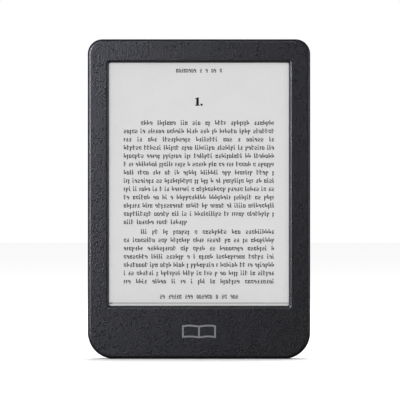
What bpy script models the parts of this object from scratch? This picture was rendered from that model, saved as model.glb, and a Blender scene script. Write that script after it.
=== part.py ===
"""A six-inch e-reader, modelled piece by piece.

It stands upright on its lower edge with the screen facing -Y and +X to the
reader's right.  The origin is the middle of the lower edge, halfway through
the thickness.  Lengths are metres, written as millimetres times MM.

From front to back it holds the bezel, the screen stack, a thin metal chassis,
the electronics with the battery, and the rear cover.  Only the power button
and the plunger of its switch move.
"""

import math

import bmesh
import bpy
from mathutils import Matrix, Vector

MM = 0.001

# Whole body
BODY_WIDTH = 111.8 * MM
BODY_HEIGHT = 160.6 * MM
BODY_DEPTH = 9.2 * MM
FRONT = -BODY_DEPTH / 2
BACK = BODY_DEPTH / 2
TOP_CORNER = 7.4 * MM
BOTTOM_CORNER = 13.1 * MM
FRONT_EDGE = 1.7 * MM
BACK_EDGE = 1.7 * MM
GAP = 0.3 * MM

# Window of the bezel
WINDOW_WIDTH = 90.5 * MM
WINDOW_HEIGHT = 122.2 * MM
WINDOW_BOTTOM = 26.6 * MM
WINDOW_CORNER = 0.6 * MM
WINDOW_SLOPE = 1.5 * MM
WINDOW_LIP = 0.15 * MM

# Housing walls
BEZEL_INNER_FACE = -3.5 * MM
BEZEL_SKIRT_END = -2.3 * MM
BEZEL_WALL = 1.4 * MM
COVER_START = BEZEL_SKIRT_END + GAP
COVER_INNER_FACE = 3.4 * MM
COVER_WALL = 1.5 * MM
TONGUE_TIP = -3.1 * MM
TONGUE_OUTER = BEZEL_WALL + GAP
TONGUE_INNER = TONGUE_OUTER + 0.8 * MM

# Layers, each as (front, back) along Y
GASKET_LAYER = (-3.4 * MM, -3.1 * MM)
TOUCH_LAYER = (-3.0 * MM, -2.75 * MM)
LIGHT_LAYER = (-2.65 * MM, -2.15 * MM)
PANEL_LAYER = (-2.05 * MM, -1.2 * MM)
CHASSIS_LAYER = (-1.0 * MM, -0.3 * MM)
TAPE_LAYER = (-0.15 * MM, 0.05 * MM)
BATTERY_LAYER = (0.25 * MM, 3.05 * MM)
BOARD_LAYER = (0.1 * MM, 0.9 * MM)
CHIP_FRONT = 1.1 * MM

# Screen stack
PANEL_HALF_WIDTH = 50.9 * MM
PANEL_BOTTOM = 15.4 * MM
PANEL_TOP = 153.8 * MM
GUIDE_BOTTOM = 22.4 * MM

# Chassis and main board
CHASSIS_INSET = 2.8 * MM
BOARD_HALF_WIDTH = 46.0 * MM
BOARD_TOP = 50.0 * MM
BOARD_SHOULDER = 16.0 * MM
BOARD_TAB_HALF_WIDTH = 12.0 * MM
BOARD_TAB_BOTTOM = 3.4 * MM

# Charging socket
PORT_Y = 0.5 * MM
PORT_WIDTH = 8.94 * MM
PORT_THICKNESS = 3.16 * MM
PORT_WALL = 0.3 * MM
PORT_MOUTH = 0.4 * MM
PORT_DEPTH = 7.3 * MM

# Battery
BATTERY_HALF_WIDTH = 29.0 * MM
BATTERY_BOTTOM = 62.0 * MM
BATTERY_TOP = 132.4 * MM

# Power button, on the back
BUTTON_X = -38.0 * MM
BUTTON_Z = 140.0 * MM
BUTTON_RADIUS = 5.5 * MM
BUTTON_HOLE_RADIUS = BUTTON_RADIUS + GAP
BUTTON_FLANGE_RADIUS = 6.6 * MM
BUTTON_FACE = 4.2 * MM
BUTTON_BOTTOM = 2.65 * MM
SWITCH_HOLE_RADIUS = 1.3 * MM
PLUNGER_RADIUS = 1.0 * MM
PLUNGER_LAYER = (1.65 * MM, BUTTON_BOTTOM - GAP)
LIGHT_X = BUTTON_X + 9.5 * MM
LIGHT_PIPE_RADIUS = 0.75 * MM

# Screws: head on the rear side, shank pointing to the front
SCREW_HEAD_RADIUS = 1.35 * MM
SCREW_HEAD_HEIGHT = 0.7 * MM
SCREW_SHANK_RADIUS = 0.6 * MM
SCREW_SHANK_LENGTH = 1.95 * MM
SCREW_HOLE_RADIUS = SCREW_SHANK_RADIUS + 0.35 * MM
BOSS_RADIUS = 1.5 * MM
BOARD_SCREW_SEAT = CHIP_FRONT
FRAME_SCREW_SEAT = -0.05 * MM
BOARD_SCREW_PLACES = [
    (side * x, z)
    for x, z in ((43.0 * MM, 20.0 * MM), (43.0 * MM, 33.0 * MM), (9.2 * MM, 11.5 * MM))
    for side in (-1, 1)
]
BUTTON_SCREW_PLACES = [(BUTTON_X - 8.0 * MM, BUTTON_Z), (BUTTON_X, BUTTON_Z + 7.0 * MM)]
FRAME_SCREW_PLACES = [
    (side * x, z) for x, z in ((43.5 * MM, 10.5 * MM), (30.0 * MM, 156.0 * MM)) for side in (-1, 1)
]

# Colours of the finishes
MOULDING = (0.045, 0.047, 0.053)
RESIN = (0.02, 0.02, 0.022)
BOARD_GREEN = (0.01, 0.045, 0.03)
CONNECTOR_CREAM = (0.7, 0.68, 0.6)
RIBBON_AMBER = (0.32, 0.13, 0.02)
STEEL = (0.55, 0.55, 0.56)
FERRITE = (0.08, 0.075, 0.07)
LAMP = (0.85, 0.85, 0.75)

# How finely the round shapes are divided
CORNER_STEPS = 10
EDGE_STEPS = 4
ROD_STEPS = 16


# ---------------------------------------------------------------- helpers


def clear_scene():
    for old in list(bpy.data.objects):
        bpy.data.objects.remove(old, do_unlink=True)


def finish(piece, colour, roughness, metallic=0.0):
    """Give the piece its own Principled material."""
    made = bpy.data.materials.new(piece.name + "_finish")
    made.use_nodes = True
    shader = made.node_tree.nodes["Principled BSDF"]
    shader.inputs["Base Color"].default_value = (*colour, 1.0)
    shader.inputs["Roughness"].default_value = roughness
    shader.inputs["Metallic"].default_value = metallic
    piece.data.materials.append(made)
    return piece


def object_from(name, bm, place=(0.0, 0.0, 0.0)):
    """Turn the bmesh into a smooth-shaded object with sharp creases."""
    mesh = bpy.data.meshes.new(name)
    bm.to_mesh(mesh)
    bm.free()
    mesh.shade_smooth()
    mesh.set_sharp_from_angle(angle=math.radians(35))
    piece = bpy.data.objects.new(name, mesh)
    piece.location = place
    bpy.context.collection.objects.link(piece)
    return piece


def add_box(bm, x, y, z):
    """Add a box between the (low, high) pairs x, y and z, and return its corners."""
    corners = bmesh.ops.create_cube(bm, size=1.0)["verts"]
    size = Vector((x[1] - x[0], y[1] - y[0], z[1] - z[0]))
    centre = Vector((sum(x), sum(y), sum(z))) / 2
    bmesh.ops.scale(bm, vec=size, verts=corners)
    bmesh.ops.translate(bm, vec=centre, verts=corners)
    return corners


def add_rod(bm, x, z, radius, y, steps=ROD_STEPS):
    """Add a round rod along Y between the (low, high) pair y."""
    along_y = Matrix.Rotation(math.radians(90), 4, "X")
    place = Matrix.Translation((x, sum(y) / 2, z)) @ along_y
    bmesh.ops.create_cone(
        bm, cap_ends=True, segments=steps, radius1=radius, radius2=radius, depth=y[1] - y[0], matrix=place
    )


def block(name, x, y, z, corner=0.0, segments=3):
    """A box-shaped piece; corner rounds its four edges along Y."""
    centre = Vector((sum(x), sum(y), sum(z))) / 2
    bm = bmesh.new()
    add_box(
        bm,
        (x[0] - centre.x, x[1] - centre.x),
        (y[0] - centre.y, y[1] - centre.y),
        (z[0] - centre.z, z[1] - centre.z),
    )
    if corner:
        upright = [e for e in bm.edges if abs(e.verts[0].co.y - e.verts[1].co.y) > (y[1] - y[0]) / 2]
        bmesh.ops.bevel(
            bm,
            geom=upright,
            offset=corner,
            segments=segments,
            profile=0.5,
            affect="EDGES",
            clamp_overlap=True,
        )
    return object_from(name, bm, centre)


def helper(name, bm):
    """A cutter or an addition: it shapes other pieces and isn't one itself."""
    piece = object_from(name, bm)
    piece.hide_render = True
    piece.display_type = "WIRE"
    return piece


def combine(piece, other, operation):
    step = piece.modifiers.new(other.name, "BOOLEAN")
    step.operation = operation
    step.solver = "EXACT"
    step.object = other


def rounded_outline(half_width, bottom, top, bottom_radius, top_radius, steps=CORNER_STEPS):
    """(x, z) points round a rectangle whose lower and upper corners are rounded."""
    corners = (
        (half_width - bottom_radius, bottom + bottom_radius, bottom_radius, -90),
        (half_width - top_radius, top - top_radius, top_radius, 0),
        (top_radius - half_width, top - top_radius, top_radius, 90),
        (bottom_radius - half_width, bottom + bottom_radius, bottom_radius, 180),
    )
    points = []
    for centre_x, centre_z, radius, start in corners:
        for step in range(steps + 1):
            angle = math.radians(start + 90 * step / steps)
            points.append((centre_x + radius * math.cos(angle), centre_z + radius * math.sin(angle)))
    return points


def body_outline(inset):
    """The body's outline, moved inwards all round by inset."""
    return rounded_outline(
        BODY_WIDTH / 2 - inset, inset, BODY_HEIGHT - inset, BOTTOM_CORNER - inset, TOP_CORNER - inset
    )


def window_outline(grow):
    """The window's outline, moved outwards all round by grow."""
    corner = WINDOW_CORNER + grow / 2
    return rounded_outline(
        WINDOW_WIDTH / 2 + grow,
        WINDOW_BOTTOM - grow,
        WINDOW_BOTTOM + WINDOW_HEIGHT + grow,
        corner,
        corner,
    )


def add_loop(bm, outline, y):
    """Add the outline's points at depth y and return them in order."""
    return [bm.verts.new((x, y, z)) for x, z in outline]


def loft(bm, loops):
    """Join each loop to the next one with a band of four-sided faces."""
    for first, second in zip(loops, loops[1:]):
        for i in range(len(first)):
            bm.faces.new((first[i - 1], first[i], second[i], second[i - 1]))


def ring(name, outer, inner, layer):
    """A flat ring between two outlines, filling the (front, back) layer."""
    bm = bmesh.new()
    loops = [
        add_loop(bm, outline, y)
        for outline, y in ((outer, layer[1]), (outer, layer[0]), (inner, layer[0]), (inner, layer[1]))
    ]
    loft(bm, loops + loops[:1])
    bmesh.ops.recalc_face_normals(bm, faces=bm.faces)
    return object_from(name, bm)


def plate(name, outline, layer):
    """A solid plate of the given outline, filling the (front, back) layer."""
    bm = bmesh.new()
    loops = [add_loop(bm, outline, y) for y in layer]
    loft(bm, loops)
    for loop in loops:
        bm.faces.new(loop)
    bmesh.ops.recalc_face_normals(bm, faces=bm.faces)
    return object_from(name, bm)


def turned(name, profile, place, steps=ROD_STEPS):
    """A solid of revolution about Y from (radius, y) points that start and end on the axis."""
    bm = bmesh.new()
    points = [bm.verts.new((radius, y, 0.0)) for radius, y in profile]
    edges = [bm.edges.new(pair) for pair in zip(points, points[1:])]
    bmesh.ops.spin(
        bm,
        geom=points + edges,
        cent=(0.0, 0.0, 0.0),
        axis=(0.0, 1.0, 0.0),
        angle=math.tau,
        steps=steps,
        use_merge=True,
    )
    bmesh.ops.remove_doubles(bm, verts=bm.verts, dist=0.001 * MM)
    bmesh.ops.recalc_face_normals(bm, faces=bm.faces)
    return object_from(name, bm, place)


def quarter_round(radius, towards):
    """(inset, distance) pairs round a quarter circle, from the side wall to the flat face."""
    pairs = []
    for step in range(EDGE_STEPS + 1):
        angle = math.radians(90 * step / EDGE_STEPS)
        pairs.append((radius * (1 - math.cos(angle)), towards * radius * (math.sin(angle) - 1)))
    return pairs


# ---------------------------------------------------------------- housing


def make_front_bezel():
    """One closed wall: skirt, rounded front edge, flat face, sloped window, inner face."""
    bm = bmesh.new()
    loops = [add_loop(bm, body_outline(0.0), BEZEL_SKIRT_END)]
    for inset, distance in quarter_round(FRONT_EDGE, -1):
        loops.append(add_loop(bm, body_outline(inset), FRONT + distance))
    loops.append(add_loop(bm, window_outline(WINDOW_SLOPE), FRONT))
    loops.append(add_loop(bm, window_outline(0.0), BEZEL_INNER_FACE - WINDOW_LIP))
    loops.append(add_loop(bm, window_outline(0.0), BEZEL_INNER_FACE))
    loops.append(add_loop(bm, body_outline(BEZEL_WALL), BEZEL_INNER_FACE))
    loops.append(add_loop(bm, body_outline(BEZEL_WALL), BEZEL_SKIRT_END))
    loft(bm, loops + loops[:1])
    bmesh.ops.recalc_face_normals(bm, faces=bm.faces)
    piece = object_from("front_bezel", bm)

    boss_end = CHASSIS_LAYER[0] - GAP
    pilot_start = FRAME_SCREW_SEAT - SCREW_SHANK_LENGTH - GAP
    bosses = bmesh.new()
    pilots = bmesh.new()
    for x, z in FRAME_SCREW_PLACES:
        add_rod(bosses, x, z, BOSS_RADIUS, (BEZEL_INNER_FACE - 0.2 * MM, boss_end))
        add_rod(pilots, x, z, SCREW_HOLE_RADIUS, (pilot_start, boss_end + GAP))
    combine(piece, helper("bezel_bosses", bosses), "UNION")
    combine(piece, helper("bezel_pilot_holes", pilots), "DIFFERENCE")
    return finish(piece, MOULDING, 0.62)


def port_outline(grow):
    """The stadium outline of the charging socket in (x, y), moved outwards by grow."""
    half_width = PORT_WIDTH / 2 + grow
    half_height = PORT_THICKNESS / 2 + grow
    return rounded_outline(half_width, -half_height, half_height, half_height, half_height, steps=5)


def add_port_solid(bm, outline, z):
    """Add the stadium outline as a solid between the (low, high) pair z."""
    loops = [[bm.verts.new((x, PORT_Y + y, height)) for x, y in outline] for height in z]
    loft(bm, loops)
    for loop in loops:
        bm.faces.new(loop)
    bmesh.ops.remove_doubles(bm, verts=bm.verts, dist=0.001 * MM)
    bmesh.ops.recalc_face_normals(bm, faces=bm.faces)


def make_rear_cover():
    """A tub: tongue, side wall, rounded back edge and flat back, open to the front."""
    bm = bmesh.new()
    loops = [
        add_loop(bm, body_outline(TONGUE_OUTER), TONGUE_TIP),
        add_loop(bm, body_outline(TONGUE_OUTER), COVER_START),
        add_loop(bm, body_outline(0.0), COVER_START),
    ]
    for inset, distance in quarter_round(BACK_EDGE, 1):
        loops.append(add_loop(bm, body_outline(inset), BACK + distance))
    inner = [
        add_loop(bm, body_outline(TONGUE_INNER), TONGUE_TIP),
        add_loop(bm, body_outline(TONGUE_INNER), -0.5 * MM),
        add_loop(bm, body_outline(COVER_WALL), 0.3 * MM),
    ]
    inner_round = BACK_EDGE - COVER_WALL
    for inset, distance in quarter_round(inner_round, 1):
        inner.append(add_loop(bm, body_outline(COVER_WALL + inset), COVER_INNER_FACE + distance))
    loft(bm, loops)
    loft(bm, [loops[0]] + inner)
    bm.faces.new(loops[-1])
    bm.faces.new(inner[-1])
    bmesh.ops.recalc_face_normals(bm, faces=bm.faces)
    piece = object_from("rear_cover", bm)

    through = (COVER_INNER_FACE - 1.0 * MM, BACK + 1.0 * MM)
    holes = bmesh.new()
    add_rod(holes, BUTTON_X, BUTTON_Z, BUTTON_HOLE_RADIUS, through, steps=32)
    add_rod(holes, LIGHT_X, BUTTON_Z, LIGHT_PIPE_RADIUS + GAP, through)
    add_port_solid(holes, port_outline(GAP), (-1.0 * MM, 4.0 * MM))
    combine(piece, helper("rear_cover_holes", holes), "DIFFERENCE")
    return finish(piece, MOULDING, 0.7)


def make_mid_frame():
    """A thin metal plate with ribs round the battery, ribbon slots and screw holes."""
    piece = plate("mid_frame", body_outline(CHASSIS_INSET), CHASSIS_LAYER)
    rib = (CHASSIS_LAYER[1] - 0.2 * MM, 1.6 * MM)
    rib_near = BATTERY_HALF_WIDTH + 0.8 * MM
    rib_far = rib_near + 0.9 * MM
    ribs = bmesh.new()
    for low_x, high_x in ((rib_near, rib_far), (-rib_far, -rib_near)):
        add_box(ribs, (low_x, high_x), rib, (BATTERY_BOTTOM + 4.0 * MM, BATTERY_TOP - 4.0 * MM))
    top_rib = BATTERY_TOP + 0.8 * MM
    add_box(ribs, (-20.0 * MM, 20.0 * MM), rib, (top_rib, top_rib + 0.9 * MM))
    combine(piece, helper("mid_frame_ribs", ribs), "UNION")

    through = (CHASSIS_LAYER[0] - 1.0 * MM, CHASSIS_LAYER[1] + 1.0 * MM)
    holes = bmesh.new()
    for low_x, high_x in ((12.6 * MM, 41.0 * MM), (-41.0 * MM, -13.4 * MM)):
        add_box(holes, (low_x, high_x), through, (9.2 * MM, 15.0 * MM))
    port_half_width = PORT_WIDTH / 2 + 0.6 * MM
    add_box(holes, (-port_half_width, port_half_width), through, (0.0, PORT_MOUTH + PORT_DEPTH + 0.6 * MM))
    for x, z in BOARD_SCREW_PLACES + BUTTON_SCREW_PLACES + FRAME_SCREW_PLACES:
        add_rod(holes, x, z, SCREW_HOLE_RADIUS, through)
    combine(piece, helper("mid_frame_holes", holes), "DIFFERENCE")
    return finish(piece, (0.42, 0.43, 0.44), 0.45, metallic=0.9)


# ---------------------------------------------------------------- screen stack


def make_screen():
    gasket = ring("screen_gasket", window_outline(3.0 * MM), window_outline(0.9 * MM), GASKET_LAYER)
    finish(gasket, (0.012, 0.012, 0.013), 0.9)

    touch_film = block(
        "touch_film", (-49.5 * MM, 49.5 * MM), TOUCH_LAYER, (19.8 * MM, PANEL_TOP), corner=0.8 * MM
    )
    finish(touch_film, (0.66, 0.66, 0.65), 0.55)

    light_guide = block(
        "light_guide",
        (-49.0 * MM, 49.0 * MM),
        LIGHT_LAYER,
        (GUIDE_BOTTOM, PANEL_TOP - GAP),
        corner=0.5 * MM,
    )
    finish(light_guide, (0.8, 0.84, 0.86), 0.12)

    panel = block(
        "e_paper_panel",
        (-PANEL_HALF_WIDTH, PANEL_HALF_WIDTH),
        PANEL_LAYER,
        (PANEL_BOTTOM, PANEL_TOP),
        corner=0.5 * MM,
    )
    finish(panel, (0.6, 0.6, 0.59), 0.5)

    driver_layer = (-2.65 * MM, -2.25 * MM)
    driver = block("display_driver", (-15.0 * MM, 15.0 * MM), driver_layer, (16.6 * MM, 18.2 * MM))
    finish(driver, RESIN, 0.3)


def make_light_strip():
    """A flexible strip with a row of LEDs that touch the light guide's lower edge."""
    strip_top = 20.4 * MM
    strip = block("light_strip", (-46.0 * MM, 46.0 * MM), LIGHT_LAYER, (19.0 * MM, strip_top))
    lamps = bmesh.new()
    lamp_count = 9
    for index in range(lamp_count):
        x = (index - (lamp_count - 1) / 2) * 10.0 * MM
        add_box(
            lamps,
            (x - 1.5 * MM, x + 1.5 * MM),
            (LIGHT_LAYER[0] + 0.05 * MM, LIGHT_LAYER[1] - 0.05 * MM),
            (strip_top - 0.2 * MM, GUIDE_BOTTOM - GAP),
        )
    combine(strip, helper("light_strip_lamps", lamps), "UNION")
    finish(strip, (0.75, 0.72, 0.55), 0.4)


# ---------------------------------------------------------------- main board


def make_main_board():
    """A T-shaped circuit board whose tab reaches down to the charging socket."""
    tab = BOARD_TAB_HALF_WIDTH
    outline = [
        (tab, BOARD_TAB_BOTTOM),
        (tab, BOARD_SHOULDER),
        (BOARD_HALF_WIDTH, BOARD_SHOULDER),
        (BOARD_HALF_WIDTH, BOARD_TOP),
        (-BOARD_HALF_WIDTH, BOARD_TOP),
        (-BOARD_HALF_WIDTH, BOARD_SHOULDER),
        (-tab, BOARD_SHOULDER),
        (-tab, BOARD_TAB_BOTTOM),
    ]
    piece = plate("main_board", outline, BOARD_LAYER)
    through = (BOARD_LAYER[0] - 1.0 * MM, BOARD_LAYER[1] + 1.0 * MM)
    holes = bmesh.new()
    for x, z in BOARD_SCREW_PLACES:
        add_rod(holes, x, z, SCREW_HOLE_RADIUS, through)
    port_half_width = PORT_WIDTH / 2 + GAP
    add_box(holes, (-port_half_width, port_half_width), through, (0.0, PORT_MOUTH + PORT_DEPTH + GAP))
    combine(piece, helper("main_board_holes", holes), "DIFFERENCE")
    return finish(piece, BOARD_GREEN, 0.45)


def make_chip(name, x, z, size, colour=RESIN, roughness=0.4, metallic=0.0):
    """A package on the rear of a board; size is its width, height and thickness."""
    width, height, thickness = size
    chip = block(
        name,
        (x - width / 2, x + width / 2),
        (CHIP_FRONT, CHIP_FRONT + thickness),
        (z - height / 2, z + height / 2),
    )
    return finish(chip, colour, roughness, metallic)


def make_chips():
    packages = (
        ("processor", -14.0, 37.0, (13.0, 13.0, 1.1)),
        ("memory_chip", 0.0, 37.0, (9.0, 12.0, 0.9)),
        ("storage_chip", 18.0, 39.0, (11.5, 13.0, 1.0)),
        ("power_chip", 7.0, 25.0, (6.0, 6.0, 0.9)),
        ("hall_sensor", 43.0, 27.0, (3.0, 1.7, 1.0)),
    )
    for name, x, z, size in packages:
        make_chip(name, x * MM, z * MM, [side * MM for side in size])
    make_chip("power_inductor", -1.5 * MM, 25.0 * MM, (4.0 * MM, 4.0 * MM, 1.4 * MM), FERRITE, 0.6)
    make_chip("crystal", 10.0 * MM, 35.0 * MM, (2.5 * MM, 3.2 * MM, 0.8 * MM), STEEL, 0.3, 1.0)
    make_chip("wireless_module", 32.0 * MM, 38.0 * MM, (12.0 * MM, 13.0 * MM, 1.7 * MM), STEEL, 0.35, 1.0)


def make_shield_can():
    """A pressed lid over the processor and the memory, open towards the board."""
    x = (-22.0 * MM, 6.0 * MM)
    z = (29.0 * MM, 45.5 * MM)
    wall = 0.25 * MM
    can = block("shield_can", x, (CHIP_FRONT, 2.9 * MM), z, corner=1.0 * MM)
    room = bmesh.new()
    add_box(room, (x[0] + wall, x[1] - wall), (0.5 * MM, 2.9 * MM - wall), (z[0] + wall, z[1] - wall))
    upright = [e for e in room.edges if abs(e.verts[0].co.y - e.verts[1].co.y) > MM]
    bmesh.ops.bevel(
        room, geom=upright, offset=0.8 * MM, segments=3, profile=0.5, affect="EDGES", clamp_overlap=True
    )
    combine(can, helper("shield_can_room", room), "DIFFERENCE")
    finish(can, STEEL, 0.3, metallic=1.0)


def make_charging_socket():
    """A drawn steel shell and, inside it, the moulded block with its contact tongue."""
    port_end = PORT_MOUTH + PORT_DEPTH
    shell_solid = bmesh.new()
    add_port_solid(shell_solid, port_outline(0.0), (PORT_MOUTH, port_end))
    shell = object_from("usb_c_shell", shell_solid)
    bore = bmesh.new()
    add_port_solid(bore, port_outline(-PORT_WALL), (PORT_MOUTH - MM, port_end + MM))
    combine(shell, helper("usb_c_bore", bore), "DIFFERENCE")
    finish(shell, (0.5, 0.5, 0.51), 0.3, metallic=1.0)

    block_front = port_end - 1.9 * MM
    tongue_solid = bmesh.new()
    add_port_solid(tongue_solid, port_outline(-PORT_WALL - 0.2 * MM), (block_front, port_end - 0.1 * MM))
    tongue = object_from("usb_c_tongue", tongue_solid)
    blade = bmesh.new()
    add_box(
        blade,
        (-3.3 * MM, 3.3 * MM),
        (PORT_Y - 0.35 * MM, PORT_Y + 0.35 * MM),
        (PORT_MOUTH + 0.9 * MM, block_front + 0.3 * MM),
    )
    combine(tongue, helper("usb_c_blade", blade), "UNION")
    finish(tongue, (0.015, 0.015, 0.016), 0.5)


# ---------------------------------------------------------------- ribbons and connectors


def ribbon_solid(name, x, path, thickness):
    """A flat strip: (y, z) centre points given a thickness, then made wide along x."""
    points = [Vector(point) for point in path]
    sides = []
    for index, point in enumerate(points):
        before = points[max(index - 1, 0)]
        after = points[min(index + 1, len(points) - 1)]
        along = (after - before).normalized()
        sides.append((point, Vector((-along.y, along.x)) * thickness / 2))
    outline = [point + side for point, side in sides] + [point - side for point, side in reversed(sides)]
    bm = bmesh.new()
    corners = [bm.verts.new((x[0], point.x, point.y)) for point in outline]
    face = bm.faces.new(corners)
    grown = bmesh.ops.extrude_face_region(bm, geom=[face])["geom"]
    moved = [item for item in grown if isinstance(item, bmesh.types.BMVert)]
    bmesh.ops.translate(bm, vec=(x[1] - x[0], 0.0, 0.0), verts=moved)
    bmesh.ops.recalc_face_normals(bm, faces=bm.faces)
    return object_from(name, bm)


def folded_path(start_y, start_z, fold_z, end_y, end_z):
    """Down from the screen, round a half circle under the chassis, and up behind the board."""
    radius = (end_y - start_y) / 2
    centre_y = (end_y + start_y) / 2
    steps = 10
    path = [(start_y, start_z)]
    for step in range(steps + 1):
        angle = math.pi + math.pi * step / steps
        path.append((centre_y + radius * math.cos(angle), fold_z + radius * math.sin(angle)))
    path.append((end_y, end_z))
    return path


def make_connector(name, x, z, y=(CHIP_FRONT, 2.3 * MM), slot_side=-1):
    """A low connector with a slot in its lower (-1) or upper (+1) long side."""
    body = block(name, x, y, z)
    slot = bmesh.new()
    edge = z[0] if slot_side < 0 else z[1]
    inner = edge - slot_side * 2.2 * MM
    outer = edge + slot_side * MM
    slot_y = (y[0] + 0.25 * MM, y[1] - 0.25 * MM)
    add_box(slot, (x[0] + 0.6 * MM, x[1] - 0.6 * MM), slot_y, (min(inner, outer), max(inner, outer)))
    combine(body, helper(name + "_slot", slot), "DIFFERENCE")
    finish(body, CONNECTOR_CREAM, 0.5)


def make_ribbons():
    """The three screen ribbons with the connectors they end in."""
    ribbon_end_y = 1.7 * MM
    fold_z = 12.5 * MM
    ribbon_end_z = 20.0 * MM
    connector_z = (18.5 * MM, 22.5 * MM)
    specs = (
        ("display", (14.5 * MM, 38.5 * MM), (PANEL_LAYER[0] + PANEL_LAYER[1]) / 2, PANEL_BOTTOM - GAP),
        ("touch", (-39.5 * MM, -27.5 * MM), TOUCH_LAYER[0] + 0.1 * MM, 19.5 * MM),
        ("light", (-23.5 * MM, -17.5 * MM), (LIGHT_LAYER[0] + LIGHT_LAYER[1]) / 2, 18.7 * MM),
    )
    for name, x, start_y, start_z in specs:
        path = folded_path(start_y, start_z, fold_z, ribbon_end_y, ribbon_end_z)
        strip = ribbon_solid(name + "_ribbon", x, path, 0.12 * MM)
        finish(strip, RIBBON_AMBER, 0.35)
        make_connector(name + "_connector", (x[0] - 1.2 * MM, x[1] + 1.2 * MM), connector_z)


# ---------------------------------------------------------------- battery and its lead


def make_battery():
    pouch = block(
        "battery_pouch",
        (-BATTERY_HALF_WIDTH, BATTERY_HALF_WIDTH),
        BATTERY_LAYER,
        (BATTERY_BOTTOM, BATTERY_TOP),
        corner=1.2 * MM,
    )
    soft_edges = pouch.modifiers.new("soft_edges", "BEVEL")
    soft_edges.width = 0.5 * MM
    soft_edges.segments = 2
    soft_edges.limit_method = "ANGLE"
    soft_edges.angle_limit = math.radians(60)
    finish(pouch, (0.5, 0.5, 0.52), 0.35, metallic=0.6)

    board = block("battery_board", (-20.0 * MM, 20.0 * MM), (0.6 * MM, 1.4 * MM), (57.5 * MM, 61.5 * MM))
    finish(board, BOARD_GREEN, 0.45)

    for name, x in (("battery_tape_left", -16.0 * MM), ("battery_tape_right", 16.0 * MM)):
        tape = block(
            name,
            (x - 6.0 * MM, x + 6.0 * MM),
            TAPE_LAYER,
            (BATTERY_BOTTOM + 3.0 * MM, BATTERY_TOP - 3.0 * MM),
            corner=0.8 * MM,
        )
        finish(tape, (0.6, 0.6, 0.58), 0.6)


def make_tube(name, route, radius, colour):
    """A thin round lead: a smooth curve through the route's points, read at even steps."""
    points = [Vector(point) for point in route]
    curve = bpy.data.curves.new(name, "CURVE")
    curve.dimensions = "3D"
    curve.bevel_depth = radius
    curve.bevel_resolution = 2
    curve.use_fill_caps = True
    path = []
    steps = 5
    for index in range(len(points) - 1):
        before = points[max(index - 1, 0)]
        start, end = points[index], points[index + 1]
        after = points[min(index + 2, len(points) - 1)]
        for step in range(steps):
            t = step / steps
            pull_in = (end - before) * 0.5
            pull_out = (after - start) * 0.5
            path.append(
                start * (2 * t**3 - 3 * t**2 + 1)
                + pull_in * (t**3 - 2 * t**2 + t)
                + end * (3 * t**2 - 2 * t**3)
                + pull_out * (t**3 - t**2)
            )
    path.append(points[-1])
    spline = curve.splines.new("POLY")
    spline.points.add(len(path) - 1)
    for target, point in zip(spline.points, path):
        target.co = (*point, 1.0)
    lead = bpy.data.objects.new(name, curve)
    bpy.context.collection.objects.link(lead)
    return finish(lead, colour, 0.5)


def make_battery_lead():
    """The socket on the main board, the plug in it, and two wires up to the battery."""
    socket = block("battery_socket", (16.0 * MM, 24.0 * MM), (CHIP_FRONT, 1.5 * MM), (25.5 * MM, 30.0 * MM))
    finish(socket, CONNECTOR_CREAM, 0.5)
    plug = block("battery_plug", (17.0 * MM, 23.0 * MM), (1.8 * MM, 2.9 * MM), (26.0 * MM, 29.5 * MM))
    finish(plug, RESIN, 0.5)
    for name, x, colour in (
        ("battery_lead_plus", 21.0 * MM, (0.45, 0.015, 0.012)),
        ("battery_lead_minus", 19.0 * MM, (0.01, 0.01, 0.011)),
    ):
        route = (
            (x, 2.45 * MM, 29.8 * MM),
            (x, 2.6 * MM, 33.5 * MM),
            (x, 2.65 * MM, 39.0 * MM),
            (x - 0.3 * MM, 2.5 * MM, 46.0 * MM),
            (x - 1.2 * MM, 1.7 * MM, 52.5 * MM),
            (x - 2.0 * MM, 1.0 * MM, 57.1 * MM),
        )
        make_tube(name, route, 0.35 * MM, colour)


# ---------------------------------------------------------------- antenna


def make_antenna():
    patch = block(
        "antenna", (12.0 * MM, 46.0 * MM), (-0.1 * MM, 0.1 * MM), (145.0 * MM, 154.0 * MM), corner=MM
    )
    finish(patch, (0.5, 0.3, 0.12), 0.4, metallic=0.5)
    plug_x = 32.0 * MM
    plug_z = 48.3 * MM
    plug = turned(
        "coax_plug",
        [(0.0, 0.0), (1.1 * MM, 0.0), (1.1 * MM, 0.7 * MM), (0.8 * MM, 0.9 * MM), (0.0, 0.9 * MM)],
        (plug_x, CHIP_FRONT, plug_z),
    )
    finish(plug, (0.8, 0.6, 0.25), 0.3, metallic=1.0)
    route = (
        (plug_x, 1.55 * MM, plug_z + 1.5 * MM),
        (plug_x + 0.4 * MM, 1.4 * MM, 52.0 * MM),
        (36.0 * MM, 0.6 * MM, 60.0 * MM),
        (38.0 * MM, 0.5 * MM, 75.0 * MM),
        (38.0 * MM, 0.5 * MM, 100.0 * MM),
        (38.0 * MM, 0.5 * MM, 125.0 * MM),
        (36.5 * MM, 0.5 * MM, 137.0 * MM),
        (33.0 * MM, 0.5 * MM, 144.5 * MM),
    )
    make_tube("antenna_coax", route, 0.3 * MM, RESIN)


# ---------------------------------------------------------------- power button


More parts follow.
